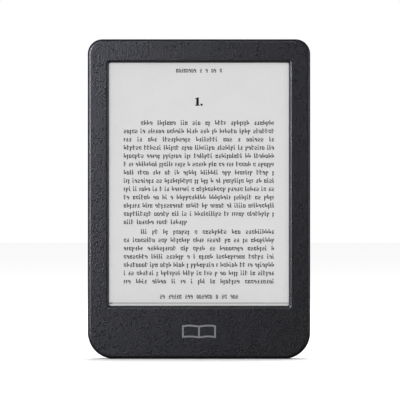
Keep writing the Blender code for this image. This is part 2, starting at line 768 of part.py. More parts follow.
def make_power_button():
    """The cap: a dished face, a straight wall and a flange under the rear cover."""
    flange_top = COVER_INNER_FACE - GAP
    profile = [
        (0.0, BUTTON_BOTTOM),
        (BUTTON_FLANGE_RADIUS, BUTTON_BOTTOM),
        (BUTTON_FLANGE_RADIUS, flange_top),
        (BUTTON_RADIUS, flange_top),
        (BUTTON_RADIUS, BUTTON_FACE - 0.2 * MM),
        (BUTTON_RADIUS - 0.2 * MM, BUTTON_FACE),
        (BUTTON_RADIUS * 0.7, BUTTON_FACE - 0.1 * MM),
        (BUTTON_RADIUS * 0.35, BUTTON_FACE - 0.18 * MM),
        (0.0, BUTTON_FACE - 0.2 * MM),
    ]
    cap = turned("power_button", profile, (BUTTON_X, 0.0, BUTTON_Z), steps=32)
    finish(cap, MOULDING, 0.5)


def make_switch():
    """The switch body with a blind hole, and the plunger that the cap pushes."""
    half = 2.3 * MM
    body_back = 1.95 * MM
    body = block(
        "switch_body",
        (BUTTON_X - half, BUTTON_X + half),
        (CHIP_FRONT, body_back),
        (BUTTON_Z - half, BUTTON_Z + half),
        corner=0.4 * MM,
    )
    hole = bmesh.new()
    add_rod(hole, BUTTON_X, BUTTON_Z, SWITCH_HOLE_RADIUS, (1.3 * MM, body_back + MM))
    combine(body, helper("switch_hole", hole), "DIFFERENCE")
    finish(body, (0.5, 0.5, 0.5), 0.35, metallic=0.8)

    front, back = PLUNGER_LAYER
    profile = [(0.0, front), (PLUNGER_RADIUS, front), (PLUNGER_RADIUS, back), (0.0, back)]
    plunger = turned("switch_plunger", profile, (BUTTON_X, 0.0, BUTTON_Z))
    finish(plunger, RESIN, 0.5)


def make_button_board():
    """The small board behind the button, with its light and its ribbon."""
    board = block(
        "button_board",
        (BUTTON_X - 10.5 * MM, BUTTON_X + 12.0 * MM),
        BOARD_LAYER,
        (BUTTON_Z - 7.0 * MM, BUTTON_Z + 9.5 * MM),
        corner=1.0 * MM,
    )
    through = (BOARD_LAYER[0] - MM, BOARD_LAYER[1] + MM)
    holes = bmesh.new()
    for x, z in BUTTON_SCREW_PLACES:
        add_rod(holes, x, z, SCREW_HOLE_RADIUS, through)
    combine(board, helper("button_board_holes", holes), "DIFFERENCE")
    finish(board, BOARD_GREEN, 0.45)

    make_chip("status_led", LIGHT_X, BUTTON_Z, (1.6 * MM, 0.8 * MM, 0.6 * MM), LAMP, 0.3)
    pipe = turned(
        "status_light_pipe",
        [
            (0.0, 2.0 * MM),
            (LIGHT_PIPE_RADIUS, 2.0 * MM),
            (LIGHT_PIPE_RADIUS, BACK - 0.15 * MM),
            (LIGHT_PIPE_RADIUS * 0.6, BACK - 0.05 * MM),
            (0.0, BACK - 0.02 * MM),
        ],
        (LIGHT_X, 0.0, BUTTON_Z),
    )
    finish(pipe, (0.8, 0.85, 0.86), 0.2)

    ribbon_x = (BUTTON_X - 2.5 * MM, BUTTON_X + 2.5 * MM)
    path = (
        (0.4 * MM, BUTTON_Z - 7.3 * MM),
        (0.4 * MM, 57.0 * MM),
        (0.6 * MM, 54.0 * MM),
        (1.3 * MM, 51.5 * MM),
        (1.6 * MM, 49.0 * MM),
        (1.6 * MM, 46.5 * MM),
    )
    strip = ribbon_solid("button_ribbon", ribbon_x, path, 0.12 * MM)
    finish(strip, RIBBON_AMBER, 0.35)
    make_connector(
        "button_connector",
        (ribbon_x[0] - 1.2 * MM, ribbon_x[1] + 1.2 * MM),
        (44.0 * MM, 48.0 * MM),
        y=(CHIP_FRONT, 2.1 * MM),
        slot_side=1,
    )


# ---------------------------------------------------------------- screws


def screw_mesh():
    """One screw with a cross recess, along Y: head behind y = 0, shank in front of it."""
    head = SCREW_HEAD_HEIGHT
    blank = turned(
        "screw_blank",
        [
            (0.0, -SCREW_SHANK_LENGTH),
            (SCREW_SHANK_RADIUS * 0.7, -SCREW_SHANK_LENGTH),
            (SCREW_SHANK_RADIUS, -SCREW_SHANK_LENGTH + 0.25 * MM),
            (SCREW_SHANK_RADIUS, 0.0),
            (SCREW_HEAD_RADIUS, 0.0),
            (SCREW_HEAD_RADIUS, head * 0.6),
            (SCREW_HEAD_RADIUS * 0.8, head),
            (0.0, head),
        ],
        (0.0, 0.0, 0.0),
        steps=12,
    )
    arm = 0.8 * MM
    half_slot = 0.16 * MM
    depth = (head - 0.4 * MM, head + 0.5 * MM)
    for name, x, z in (("recess_across", arm, half_slot), ("recess_upright", half_slot, arm)):
        bar = bmesh.new()
        add_box(bar, (-x, x), depth, (-z, z))
        combine(blank, helper(name, bar), "DIFFERENCE")
    graph = bpy.context.evaluated_depsgraph_get()
    mesh = bpy.data.meshes.new_from_object(blank.evaluated_get(graph))
    mesh.name = "screw"
    bpy.data.objects.remove(blank, do_unlink=True)
    return mesh


def make_screws():
    """Every screw is its own object and shares one mesh."""
    mesh = screw_mesh()
    groups = (
        ("board_screw", BOARD_SCREW_PLACES, BOARD_SCREW_SEAT),
        ("button_screw", BUTTON_SCREW_PLACES, BOARD_SCREW_SEAT),
        ("frame_screw", FRAME_SCREW_PLACES, FRAME_SCREW_SEAT),
    )
    for name, places, seat in groups:
        for number, (x, z) in enumerate(places, start=1):
            screw = bpy.data.objects.new(f"{name}_{number}", mesh)
            screw.location = (x, seat, z)
            bpy.context.collection.objects.link(screw)
            if not mesh.materials:
                finish(screw, (0.35, 0.35, 0.36), 0.3, metallic=1.0)


def main():
    clear_scene()
    make_front_bezel()
    make_rear_cover()
    make_mid_frame()
    make_screen()
    make_light_strip()
    make_main_board()
    make_chips()
    make_shield_can()
    make_charging_socket()
    make_ribbons()
    make_battery()
    make_battery_lead()
    make_antenna()
    make_power_button()
    make_switch()
    make_button_board()
    make_screws()


main()
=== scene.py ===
# %% [markdown]
# # An e-reader, from its fixed frame to its finished surfaces
#
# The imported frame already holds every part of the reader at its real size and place.
# This lesson gives those parts their looks.  The parts that show are built again with
# finer edges, and the parts inside keep their shape and get a finish of their own.
# Nothing is moved: every new piece takes its place from the part that it stands for.

# %% Load the frame
import math
import random

import bmesh
import bpy
from mathutils import Matrix, Vector


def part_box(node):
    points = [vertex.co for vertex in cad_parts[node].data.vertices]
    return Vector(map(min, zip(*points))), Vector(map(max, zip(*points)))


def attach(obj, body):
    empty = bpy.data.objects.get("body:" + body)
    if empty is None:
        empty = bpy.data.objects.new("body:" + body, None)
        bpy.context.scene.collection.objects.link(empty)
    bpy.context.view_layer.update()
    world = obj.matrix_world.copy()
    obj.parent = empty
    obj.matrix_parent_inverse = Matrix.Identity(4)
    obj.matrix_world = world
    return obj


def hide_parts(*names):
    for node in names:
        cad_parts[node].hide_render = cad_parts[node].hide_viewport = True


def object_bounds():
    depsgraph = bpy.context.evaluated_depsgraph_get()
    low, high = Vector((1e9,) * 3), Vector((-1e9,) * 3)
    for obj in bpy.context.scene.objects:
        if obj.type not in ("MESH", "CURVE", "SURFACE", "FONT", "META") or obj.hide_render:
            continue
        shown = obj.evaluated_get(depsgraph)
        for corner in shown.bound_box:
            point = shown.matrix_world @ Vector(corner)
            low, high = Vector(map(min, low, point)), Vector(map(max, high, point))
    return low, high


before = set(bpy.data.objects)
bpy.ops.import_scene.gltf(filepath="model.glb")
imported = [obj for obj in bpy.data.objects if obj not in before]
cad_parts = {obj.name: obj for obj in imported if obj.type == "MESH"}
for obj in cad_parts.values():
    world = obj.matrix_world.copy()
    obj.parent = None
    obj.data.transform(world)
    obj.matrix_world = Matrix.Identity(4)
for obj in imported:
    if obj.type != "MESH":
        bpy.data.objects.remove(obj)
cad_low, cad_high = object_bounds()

MM = 0.001
print("frame:", len(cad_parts), "nodes,", [round(side / MM, 1) for side in cad_high - cad_low], "mm")

# %% [markdown]
# ## The camera
#
# A product picture of a flat thing is taken straight on with a long lens, so that its
# edges stay parallel.  The camera could stand level with the middle of the reader.  It
# looks down by half a degree instead, so that a sliver of floor shows in front, and the
# width of the view is stated in metres, because that is what decides the picture.

# %% Camera
VIEW_WIDTH = 200.9 * MM
CAMERA_DISTANCE = 2.0
CAMERA_PITCH = math.radians(0.5)
AIM_SIDEWAYS = 0.5 * MM
AIM_DROP = 0.46 * MM
SENSOR_WIDTH = 36.0

middle = (cad_low + cad_high) / 2
front_y, back_y, floor_z = cad_low.y, cad_high.y, cad_low.z
target = Vector((middle.x + AIM_SIDEWAYS, front_y, middle.z - AIM_DROP))
back_off = Vector((0.0, -math.cos(CAMERA_PITCH), math.sin(CAMERA_PITCH)))

camera_data = bpy.data.cameras.new("camera")
camera_data.sensor_width = SENSOR_WIDTH
camera_data.lens = SENSOR_WIDTH * CAMERA_DISTANCE / VIEW_WIDTH
camera = bpy.data.objects.new("camera", camera_data)
camera.location = target + back_off * CAMERA_DISTANCE
camera.rotation_euler = (-back_off).to_track_quat("-Z", "Y").to_euler()
bpy.context.scene.collection.objects.link(camera)
bpy.context.scene.camera = camera
print("lens", round(camera_data.lens, 1), "mm at", CAMERA_DISTANCE, "m")

# %% [markdown]
# ## Studio: floor, tent and soft boxes
#
# The reader stands on a white sheet inside a big white tent.  The tent is the world: it
# lights from all sides, so the page is even and the floor darkens only close to the
# reader.  Dark plastic takes its form from reflections, so the tent is dim in them, as
# if black cards stood round it, and soft boxes put the sheen where it is wanted: a near
# one at the left, which fades across the front, a faint one at the right, one high in
# front and one behind.  Lamps could light everything alike; these four only reflect.
# The fifth box, overhead, does the opposite: it adds matte light and makes no sheen.

# %% Studio
FLOOR_HALF = 3.0
FLOOR_DROP = 0.05 * MM
FLOOR_TONE = 0.92
FLOOR_ROUGHNESS = 0.9
FLOOR_GLOW = 0.02
TENT_STRENGTH = 1.0
TENT_IN_REFLECTIONS = 0.03
WHITE = (1.0, 1.0, 1.0)
COOL_WHITE = (0.86, 0.875, 1.0)

# Each box: its name, its power in watts, its place in metres, its width and its height.
SHEEN_BOXES = [
    ("key_box", 5.1, (-0.316, -0.372, 0.196), 0.26, 0.26),
    ("fill_box", 0.5, (0.45, -0.18, 0.12), 0.15, 0.20),
    ("upper_box", 1.3, (0.0, -0.72, 0.68), 0.25, 0.12),
    ("rear_box", 0.6, (0.42, 0.42, 0.32), 0.30, 0.30),
]
MATTE_BOXES = [("top_box", 6.6, (0.05, 0.17, 1.00), 0.40, 0.30)]


def soft_box(name, power, place, width, height, sheen):
    """A soft box that points at the reader: it gives either sheen or matte light."""
    data = bpy.data.lights.new(name, "AREA")
    data.energy = power
    data.color = COOL_WHITE if sheen else WHITE
    data.shape = "RECTANGLE"
    data.size, data.size_y = width, height
    made = bpy.data.objects.new(name, data)
    made.location = place
    made.rotation_euler = (middle - Vector(place)).to_track_quat("-Z", "Y").to_euler()
    made.visible_diffuse = not sheen
    made.visible_glossy = sheen
    bpy.context.scene.collection.objects.link(made)


def make_floor():
    """A large white sheet with a faint glow, as a lit table has, and dim in reflections."""
    bm = bmesh.new()
    bmesh.ops.create_grid(bm, x_segments=1, y_segments=1, size=FLOOR_HALF)
    bmesh.ops.translate(bm, vec=(0.0, 0.0, floor_z - FLOOR_DROP), verts=bm.verts)
    mesh = bpy.data.meshes.new("floor")
    bm.to_mesh(mesh)
    bm.free()
    floor = bpy.data.objects.new("floor", mesh)
    bpy.context.scene.collection.objects.link(floor)
    paper = bpy.data.materials.new("floor_sheet")
    paper.use_nodes = True
    shader = paper.node_tree.nodes["Principled BSDF"]
    shader.inputs["Base Color"].default_value = (FLOOR_TONE, FLOOR_TONE, FLOOR_TONE, 1.0)
    shader.inputs["Roughness"].default_value = FLOOR_ROUGHNESS
    shader.inputs["Specular IOR Level"].default_value = 0.0
    shader.inputs["Emission Color"].default_value = (*WHITE, 1.0)
    shader.inputs["Emission Strength"].default_value = FLOOR_GLOW
    nodes, links = paper.node_tree.nodes, paper.node_tree.links
    dim = nodes.new("ShaderNodeEmission")
    dim.inputs["Strength"].default_value = TENT_IN_REFLECTIONS
    mix = nodes.new("ShaderNodeMixShader")
    links.new(nodes.new("ShaderNodeLightPath").outputs["Is Glossy Ray"], mix.inputs["Fac"])
    links.new(shader.outputs[0], mix.inputs[1])
    links.new(dim.outputs[0], mix.inputs[2])
    links.new(mix.outputs[0], nodes["Material Output"].inputs["Surface"])
    mesh.materials.append(paper)


def make_tent():
    """The world: white to look at, an even light on matte things, dim in reflections."""
    world = bpy.data.worlds.new("tent")
    bpy.context.scene.world = world
    world.use_nodes = True
    world.cycles.sampling_method = "NONE"
    nodes, links = world.node_tree.nodes, world.node_tree.links
    nodes.clear()
    rays = nodes.new("ShaderNodeLightPath")
    output = nodes.new("ShaderNodeOutputWorld")
    light = nodes.new("ShaderNodeBackground")
    light.inputs["Color"].default_value = (*WHITE, 1.0)
    light.inputs["Strength"].default_value = TENT_STRENGTH
    for strength, ray in ((TENT_IN_REFLECTIONS, "Is Glossy Ray"), (1.0, "Is Camera Ray")):
        other = nodes.new("ShaderNodeBackground")
        other.inputs["Color"].default_value = (*WHITE, 1.0)
        other.inputs["Strength"].default_value = strength
        mix = nodes.new("ShaderNodeMixShader")
        links.new(rays.outputs[ray], mix.inputs["Fac"])
        links.new(light.outputs[0], mix.inputs[1])
        links.new(other.outputs[0], mix.inputs[2])
        light = mix
    links.new(light.outputs[0], output.inputs["Surface"])


make_floor()
make_tent()
for box in SHEEN_BOXES:
    soft_box(*box, sheen=True)
for box in MATTE_BOXES:
    soft_box(*box, sheen=False)
bpy.context.scene.view_settings.view_transform = "Standard"

# %% [markdown]
# ## Helpers for moulded shapes
#
# Most parts of a reader are flat slabs with rounded corners.  A cube whose four edges
# along one axis are bevelled is exactly that: a bevel with a profile of 0.5 is a true
# quarter circle.  The corners could be lofted from point lists, but then every radius
# would be sums in the script.  Openings are cut with a Boolean and kept as plain mesh.

# %% Helpers for slabs
SHARP_ANGLE = math.radians(35)
MERGE_DISTANCE = 0.0005 * MM
LEVEL_TOLERANCE = 0.001 * MM


def bevel(bm, edges, offset, segments):
    """Round the edges off to quarter circles."""
    bmesh.ops.bevel(
        bm, geom=edges, offset=offset, segments=segments, profile=0.5, affect="EDGES", material=-1
    )


def slab(low, high, lower_radius, upper_radius, axis=1, segments=24):
    """A block whose four edges along the axis are rounded; the radii differ below and above."""
    low, high = Vector(low), Vector(high)
    bm = bmesh.new()
    bmesh.ops.create_cube(bm, size=1.0)
    bmesh.ops.scale(bm, vec=high - low, verts=bm.verts)
    bmesh.ops.translate(bm, vec=(low + high) / 2, verts=bm.verts)
    upwards = 2 if axis == 1 else 1
    half_way = (low[upwards] + high[upwards]) / 2
    for above, radius in ((False, lower_radius), (True, upper_radius)):
        corners = [
            edge
            for edge in bm.edges
            if abs(edge.verts[0].co[axis] - edge.verts[1].co[axis]) > (high[axis] - low[axis]) / 2
            and (edge.verts[0].co[upwards] > half_way) == above
        ]
        bevel(bm, corners, radius, segments)
    bm.normal_update()
    return bm


def rim_at(bm, level, axis=1):
    """The edges in the plane at a level of the axis that border a face which leaves it."""
    flat = [e for e in bm.edges if all(abs(v.co[axis] - level) < LEVEL_TOLERANCE for v in e.verts)]
    return [e for e in flat if any(abs(f.normal[axis]) < 0.99 for f in e.link_faces)]


def piece_from(bm, name):
    """A smooth-shaded piece of the bmesh, with creases above the sharp angle."""
    mesh = bpy.data.meshes.new(name)
    bm.to_mesh(mesh)
    bm.free()
    mesh.shade_smooth()
    mesh.set_sharp_from_angle(angle=SHARP_ANGLE)
    made = bpy.data.objects.new(name, mesh)
    bpy.context.scene.collection.objects.link(made)
    return made


# %% Helpers for cutting and turning


def carve(piece, operation, *tools):
    """Cut the piece with each bmesh, or join each to it, and keep the result as its mesh."""
    for bm in tools:
        tool = piece_from(bm, "tool")
        step = piece.modifiers.new("cut", "BOOLEAN")
        step.operation = operation
        step.solver = "EXACT"
        step.object = tool
        graph = bpy.context.evaluated_depsgraph_get()
        shaped = bpy.data.meshes.new_from_object(piece.evaluated_get(graph))
        piece.modifiers.clear()
        piece.data = shaped
        bpy.data.objects.remove(tool)
    piece.data.set_sharp_from_angle(angle=SHARP_ANGLE)


def even_shading(piece):
    """Let the large flat faces decide the normals, so that no shadow runs over them."""
    step = piece.modifiers.new("even_shading", "WEIGHTED_NORMAL")
    step.keep_sharp = True
    step.weight = 100


def turned(profile, centre, segments=64):
    """A solid of revolution about Y from (radius, y) points, centred at (x, z)."""
    bm = bmesh.new()
    points = [bm.verts.new((radius, y, 0.0)) for radius, y in profile]
    edges = [bm.edges.new(pair) for pair in zip(points, points[1:])]
    bmesh.ops.spin(
        bm,
        geom=points + edges,
        cent=(0, 0, 0),
        axis=(0, 1, 0),
        angle=math.tau,
        steps=segments,
        use_merge=True,
    )
    bmesh.ops.remove_doubles(bm, verts=bm.verts, dist=MERGE_DISTANCE)
    bmesh.ops.recalc_face_normals(bm, faces=bm.faces)
    bmesh.ops.translate(bm, vec=(centre[0], 0.0, centre[1]), verts=bm.verts)
    return bm


def settle(piece, body, slot, *replaced):
    """Hang the piece on the body it rides on and hide the parts it stands for; slot is not used."""
    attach(piece, body)
    if replaced:
        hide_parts(*replaced)
    print(piece.name + ":", len(piece.data.polygons), "faces, rides on", body)
    return piece


# %% [markdown]
# ## The bezel
#
# The real bezel is one moulding: a flat frame round the screen with a short skirt.  Its
# front edge is rounded and its window has sloped walls, which is what makes the screen
# look set in.  It could be lofted ring by ring; a slab with two cuts is shorter to read.
# The window is cut with a slab whose front face is drawn out and widened in small steps,
# so that the wall slopes up from a thin lip and rounds over to the front.

# %% Bezel: its measures
LOWER_CORNER = 13.1 * MM
UPPER_CORNER = 7.4 * MM
FRONT_ROUND = 1.7 * MM
BEZEL_THICKNESS = 1.1 * MM
SKIRT_LENGTH = 2.3 * MM
SKIRT_WALL = 1.4 * MM
WINDOW_WIDTH = 90.5 * MM
WINDOW_HEIGHT = 122.2 * MM
WINDOW_BOTTOM = 26.6 * MM
WINDOW_CORNER = 1.0 * MM
WINDOW_SLOPE = 1.5 * MM
WINDOW_LIP = 0.15 * MM
WALL_TILT = math.radians(45)
ROUND_STEPS = 8
EDGE_BREAK = 0.12 * MM
CUT_PAST = 1.0 * MM

window_low = Vector((middle.x - WINDOW_WIDTH / 2, front_y, floor_z + WINDOW_BOTTOM))
window_high = window_low + Vector((WINDOW_WIDTH, 0.0, WINDOW_HEIGHT))
window_middle = (window_low + window_high) / 2


def body_slab(inset, y_low, y_high):
    """The body's outline moved inwards by inset, as a slab from y_low to y_high."""
    return slab(
        (cad_low.x + inset, y_low, cad_low.z + inset),
        (cad_high.x - inset, y_high, cad_high.z - inset),
        LOWER_CORNER - inset,
        UPPER_CORNER - inset,
    )


# %% Bezel: cut and finished


def window_cutter():
    """Straight at the lip, then sloping at the wall's tilt and rounding over to the front."""
    inner_y = front_y + BEZEL_THICKNESS
    bm = slab(
        (window_low.x, inner_y - WINDOW_LIP, window_low.z),
        (window_high.x, inner_y + SKIRT_WALL, window_high.z),
        WINDOW_CORNER,
        WINDOW_CORNER,
        segments=8,
    )
    depth = BEZEL_THICKNESS - WINDOW_LIP
    radius = (WINDOW_SLOPE * math.tan(WALL_TILT) - depth) / (1 / math.cos(WALL_TILT) - 1)
    flare = []
    for step in range(ROUND_STEPS + 1):
        angle = WALL_TILT * (1 - step / ROUND_STEPS)
        y = front_y + radius * (1 - math.cos(angle))
        flare.append((y, WINDOW_SLOPE - radius * math.sin(angle)))
    flare.append((front_y - CUT_PAST, WINDOW_SLOPE))
    face = min(bm.faces, key=lambda f: f.calc_center_median().y)
    half_width, half_height = WINDOW_WIDTH / 2, WINDOW_HEIGHT / 2
    grown = 0.0
    for y, grow in flare:
        face = bmesh.ops.extrude_discrete_faces(bm, faces=[face])["faces"][0]
        wider = (half_width + grow) / (half_width + grown)
        taller = (half_height + grow) / (half_height + grown)
        away = Matrix.Translation(-window_middle)
        bmesh.ops.scale(bm, vec=(wider, 1.0, taller), space=away, verts=face.verts)
        bmesh.ops.translate(bm, vec=(0.0, y - face.verts[0].co.y, 0.0), verts=face.verts)
        grown = grow
    return bm


def make_bezel():
    """The slab with its edges rounded, hollowed behind and opened for the screen."""
    skirt_end = front_y + SKIRT_LENGTH
    bm = body_slab(0.0, front_y, skirt_end)
    bevel(bm, rim_at(bm, front_y), FRONT_ROUND, 12)
    bm.normal_update()
    bevel(bm, rim_at(bm, skirt_end), EDGE_BREAK, 2)
    bezel = piece_from(bm, "bezel")
    inside = body_slab(SKIRT_WALL, front_y + BEZEL_THICKNESS, skirt_end + CUT_PAST)
    carve(bezel, "DIFFERENCE", inside, window_cutter())
    return settle(bezel, "root", "bezel_plastic", "front_bezel")


bezel = make_bezel()

# %% [markdown]
# ## The sign on the chin
#
# Below the screen a real reader carries a small printed sign, pressed in light grey ink.
# Here it is a plain open book, as a sign on a library door would be.  It could be a
# colour in the material, but a thin inlay gives it a true edge: its outline is drawn
# with a few corners, thickened by an inset, and let into a shallow pocket of the bezel.

# %% Sign: an open book
SIGN_HEIGHT_ABOVE_FLOOR = 13.75 * MM
PAGE_REACH = 8.5 * MM
PAGE_TALL = 6.3 * MM
PAGE_RISE = 0.55 * MM
PAGE_BEND = 0.9
SIGN_STROKE = 0.85 * MM
SIGN_DEPTH = 0.06 * MM
SIGN_SUNK = 0.01 * MM
PAGE_SIDE_STEPS = 10


def book_outline(y_low, y_high):
    """Two curved pages with a common spine, as a flat ring between two depths."""
    bm = bmesh.new()
    bmesh.ops.create_grid(bm, x_segments=PAGE_SIDE_STEPS, y_segments=1, size=0.5)
    bmesh.ops.scale(bm, vec=(PAGE_REACH, PAGE_TALL, 1.0), verts=bm.verts)
    bmesh.ops.translate(bm, vec=(PAGE_REACH / 2, 0.0, 0.0), verts=bm.verts)
    for vert in bm.verts:
        vert.co.y += PAGE_RISE * math.sin(math.pi * (vert.co.x / PAGE_REACH * PAGE_BEND))
        vert.co.y -= PAGE_RISE / 2
    whole_page = bm.verts[:] + bm.edges[:] + bm.faces[:]
    bmesh.ops.mirror(bm, geom=whole_page, merge_dist=0.01 * MM, axis="X")
    for side in (1, -1):
        page = [f for f in bm.faces if f.calc_center_median().x * side > 0]
        bmesh.ops.dissolve_faces(bm, faces=page)
    bmesh.ops.inset_individual(bm, faces=bm.faces[:], thickness=SIGN_STROKE, use_even_offset=True)
    for vert in bm.verts:  # the two pages share one stroke along the spine
        if abs(abs(vert.co.x) - SIGN_STROKE) < SIGN_STROKE * 0.2:
            vert.co.x *= 0.5
    inner = [f for f in bm.faces if len(f.verts) > 4]
    bmesh.ops.delete(bm, geom=inner, context="FACES_ONLY")
    bmesh.ops.rotate(bm, verts=bm.verts, matrix=Matrix.Rotation(math.radians(90), 3, "X"))
    place = (middle.x, y_low, floor_z + SIGN_HEIGHT_ABOVE_FLOOR)
    bmesh.ops.translate(bm, vec=place, verts=bm.verts)
    grown = bmesh.ops.extrude_face_region(bm, geom=bm.faces[:])["geom"]
    far_side = [item for item in grown if isinstance(item, bmesh.types.BMVert)]
    bmesh.ops.translate(bm, vec=(0.0, y_high - y_low, 0.0), verts=far_side)
    bmesh.ops.recalc_face_normals(bm, faces=bm.faces)
    return bm


carve(bezel, "DIFFERENCE", book_outline(front_y - CUT_PAST, front_y + SIGN_DEPTH))
even_shading(bezel)
sign = piece_from(book_outline(front_y + SIGN_SUNK, front_y + SIGN_DEPTH + SIGN_SUNK), "book_sign")
settle(sign, "root", "bezel_plastic")

# %% [markdown]
# ## The rear cover
#
# The cover is a shallow tub with softly rounded edges, so that the reader sits well in
# the hand.  It is hollow, as a moulding is, and a tongue on its rim locates the bezel
# and leaves the thin groove that runs round the body.  It could be one solid block, but
# the holes for the button, the light and the charging socket show that it is a wall.

# %% Rear cover: its measures
BACK_ROUND = 1.7 * MM
COVER_WALL = 1.5 * MM
BACK_WALL = 1.2 * MM
PARTING_GAP = 0.3 * MM
TONGUE_SET_IN = SKIRT_WALL + PARTING_GAP
TONGUE_WALL = 0.8 * MM
TONGUE_REACH = 1.1 * MM
TONGUE_ROOT = 1.5 * MM
TONGUE_LEDGE = 0.8 * MM
HOLE_DEPTH = 3.0 * MM
HOLE_BREAK = 0.35 * MM
LIGHT_HOLE_RADIUS = 1.05 * MM
PORT_CLEARANCE = 0.3 * MM
PORT_HOLE_DEPTH = 4.0 * MM
PORT_ROUNDNESS = 0.999
BUTTON_RADIUS = 5.5 * MM

button_low, button_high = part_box("power_button")
button_x, button_z = (button_low.x + button_high.x) / 2, (button_low.z + button_high.z) / 2
pipe_low, pipe_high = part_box("status_light_pipe")
light_x = (pipe_low.x + pipe_high.x) / 2
port_low, port_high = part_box("usb_c_shell")


def dished_hole(radius, x, z):
    """A cutter for a round hole in the back wall whose outer edge is broken."""
    outer = back_y + CUT_PAST
    profile = [
        (0.0, back_y - HOLE_DEPTH),
        (radius, back_y - HOLE_DEPTH),
        (radius, back_y - HOLE_BREAK),
        (radius + HOLE_BREAK * 0.3, back_y - HOLE_BREAK * 0.3),
        (radius + HOLE_BREAK, back_y),
        (radius + HOLE_BREAK * 1.3, outer),
        (0.0, outer),
    ]
    return turned(profile, (x, z))


def port_solid(grow, z_low, z_high, flare=0.0):
    """The round-ended outline of the charging socket, grown, between two heights."""
    low = Vector((port_low.x - grow, port_low.y - grow, z_low))
    high = Vector((port_high.x + grow, port_high.y + grow, z_high))
    radius = (high.y - low.y) / 2 * PORT_ROUNDNESS
    bm = slab(low, high, radius, radius, axis=2, segments=16)
    if flare:
        bottom = [v for v in bm.verts if v.co.z < (z_low + z_high) / 2]
        centre = (low + high) / 2
        sides = Vector(((high.x - low.x) / 2, (high.y - low.y) / 2, 1.0))
        wider = Vector((1 + flare / sides.x, 1 + flare / sides.y, 1.0))
        space = Matrix.Translation((-centre.x, -centre.y, 0.0))
        bmesh.ops.scale(bm, vec=wider, space=space, verts=bottom)
    return bm


# %% Rear cover: moulded and cut


def make_cover():
    """The outer slab and its tongue, hollowed and then opened for button, light and socket."""
    rim_y = front_y + SKIRT_LENGTH + PARTING_GAP
    bm = body_slab(0.0, rim_y, back_y)
    bevel(bm, rim_at(bm, back_y), BACK_ROUND, 16)
    bm.normal_update()
    bevel(bm, rim_at(bm, rim_y), EDGE_BREAK, 2)
    cover = piece_from(bm, "back_cover")
    carve(cover, "UNION", body_slab(TONGUE_SET_IN, rim_y - TONGUE_REACH, rim_y + TONGUE_ROOT))
    hollow = body_slab(COVER_WALL, rim_y + TONGUE_ROOT + TONGUE_LEDGE, back_y - BACK_WALL)
    bevel(hollow, rim_at(hollow, back_y - BACK_WALL), COVER_WALL, 8)
    mouth_low, mouth_high = rim_y - TONGUE_REACH - CUT_PAST, rim_y + TONGUE_ROOT + CUT_PAST
    mouth = body_slab(TONGUE_SET_IN + TONGUE_WALL, mouth_low, mouth_high)
    button_hole = dished_hole(BUTTON_RADIUS + PARTING_GAP, button_x, button_z)
    light_hole = dished_hole(LIGHT_HOLE_RADIUS, light_x, button_z)
    socket_hole = port_solid(PORT_CLEARANCE, floor_z - CUT_PAST, floor_z + PORT_HOLE_DEPTH)
    break_top = floor_z + HOLE_BREAK
    socket_break = port_solid(PORT_CLEARANCE, floor_z - HOLE_BREAK, break_top, flare=2 * HOLE_BREAK)
    carve(cover, "DIFFERENCE", hollow, mouth, button_hole, light_hole, socket_hole, socket_break)
    even_shading(cover)
    settle(cover, "root", "cover_plastic", "rear_cover")


make_cover()

# %% [markdown]
# ## Power button and status light
#
# The cap is a turned part: a shallow dish for the fingertip, a rounded rim and a flange
# that keeps it in the cover.  It rides on its own body, so it sinks when it is pressed.
# Beside it sits the end of a clear rod that brings the light of a small lamp outside.
# A spin of one profile is all that each needs, and it keeps the rim truly round.

# %% Button cap and light rod
RIM_ROUND = 0.35 * MM
DISH_DEPTH = 0.22 * MM
DISH_STEPS = 8
RIM_STEPS = 6
PIPE_DOME = 0.12 * MM


def quarter_turn(radius, y, size, steps):
    """Points of a rounded outer edge, from the wall at radius up to the face at y."""
    angles = [math.pi / 2 * step / steps for step in range(steps + 1)]
    return [(radius - size + size * math.cos(a), y - size + size * math.sin(a)) for a in angles]


def make_button():
    """The cap from its flange to its rim and across its dish, spun about its own axis."""
    flange_radius = (button_high.x - button_low.x) / 2
    flange_y = back_y - BACK_WALL - PARTING_GAP
    dish_radius = BUTTON_RADIUS - RIM_ROUND
    profile = [(0.0, button_low.y), (flange_radius, button_low.y)]
    profile += [(flange_radius, flange_y), (BUTTON_RADIUS, flange_y)]
    profile += quarter_turn(BUTTON_RADIUS, button_high.y, RIM_ROUND, RIM_STEPS)
    for step in range(1, DISH_STEPS + 1):
        share = 1 - step / DISH_STEPS
        y = button_high.y - DISH_DEPTH * math.cos(math.pi / 2 * share) ** 2
        profile.append((dish_radius * share, y))
    cap = piece_from(turned(profile, (button_x, button_z), segments=96), "button_cap")
    settle(cap, "power_button", "button_plastic", "power_button")


def make_light_rod():
    """A short rod with a domed outer end."""
    radius = (pipe_high.x - pipe_low.x) / 2
    profile = [(0.0, pipe_low.y), (radius, pipe_low.y)]
    profile += quarter_turn(radius, pipe_high.y, PIPE_DOME, RIM_STEPS)
    profile += [(0.0, pipe_high.y)]
    rod = piece_from(turned(profile, (light_x, button_z), segments=32), "light_rod")
    settle(rod, "root", "clear_lens", "status_light_pipe")


make_button()
make_light_rod()

# %% [markdown]
# ## Charging socket
#
# The socket is a steel shell bent to a round-ended tube, with a plastic tongue inside
# that carries the contacts.  From below one looks straight into it, so the shell has a
# real wall and a rolled mouth, and each contact is its own small gold strip, let into
# the tongue.  The shell could be a ring of flat faces, but its mouth catches the light.

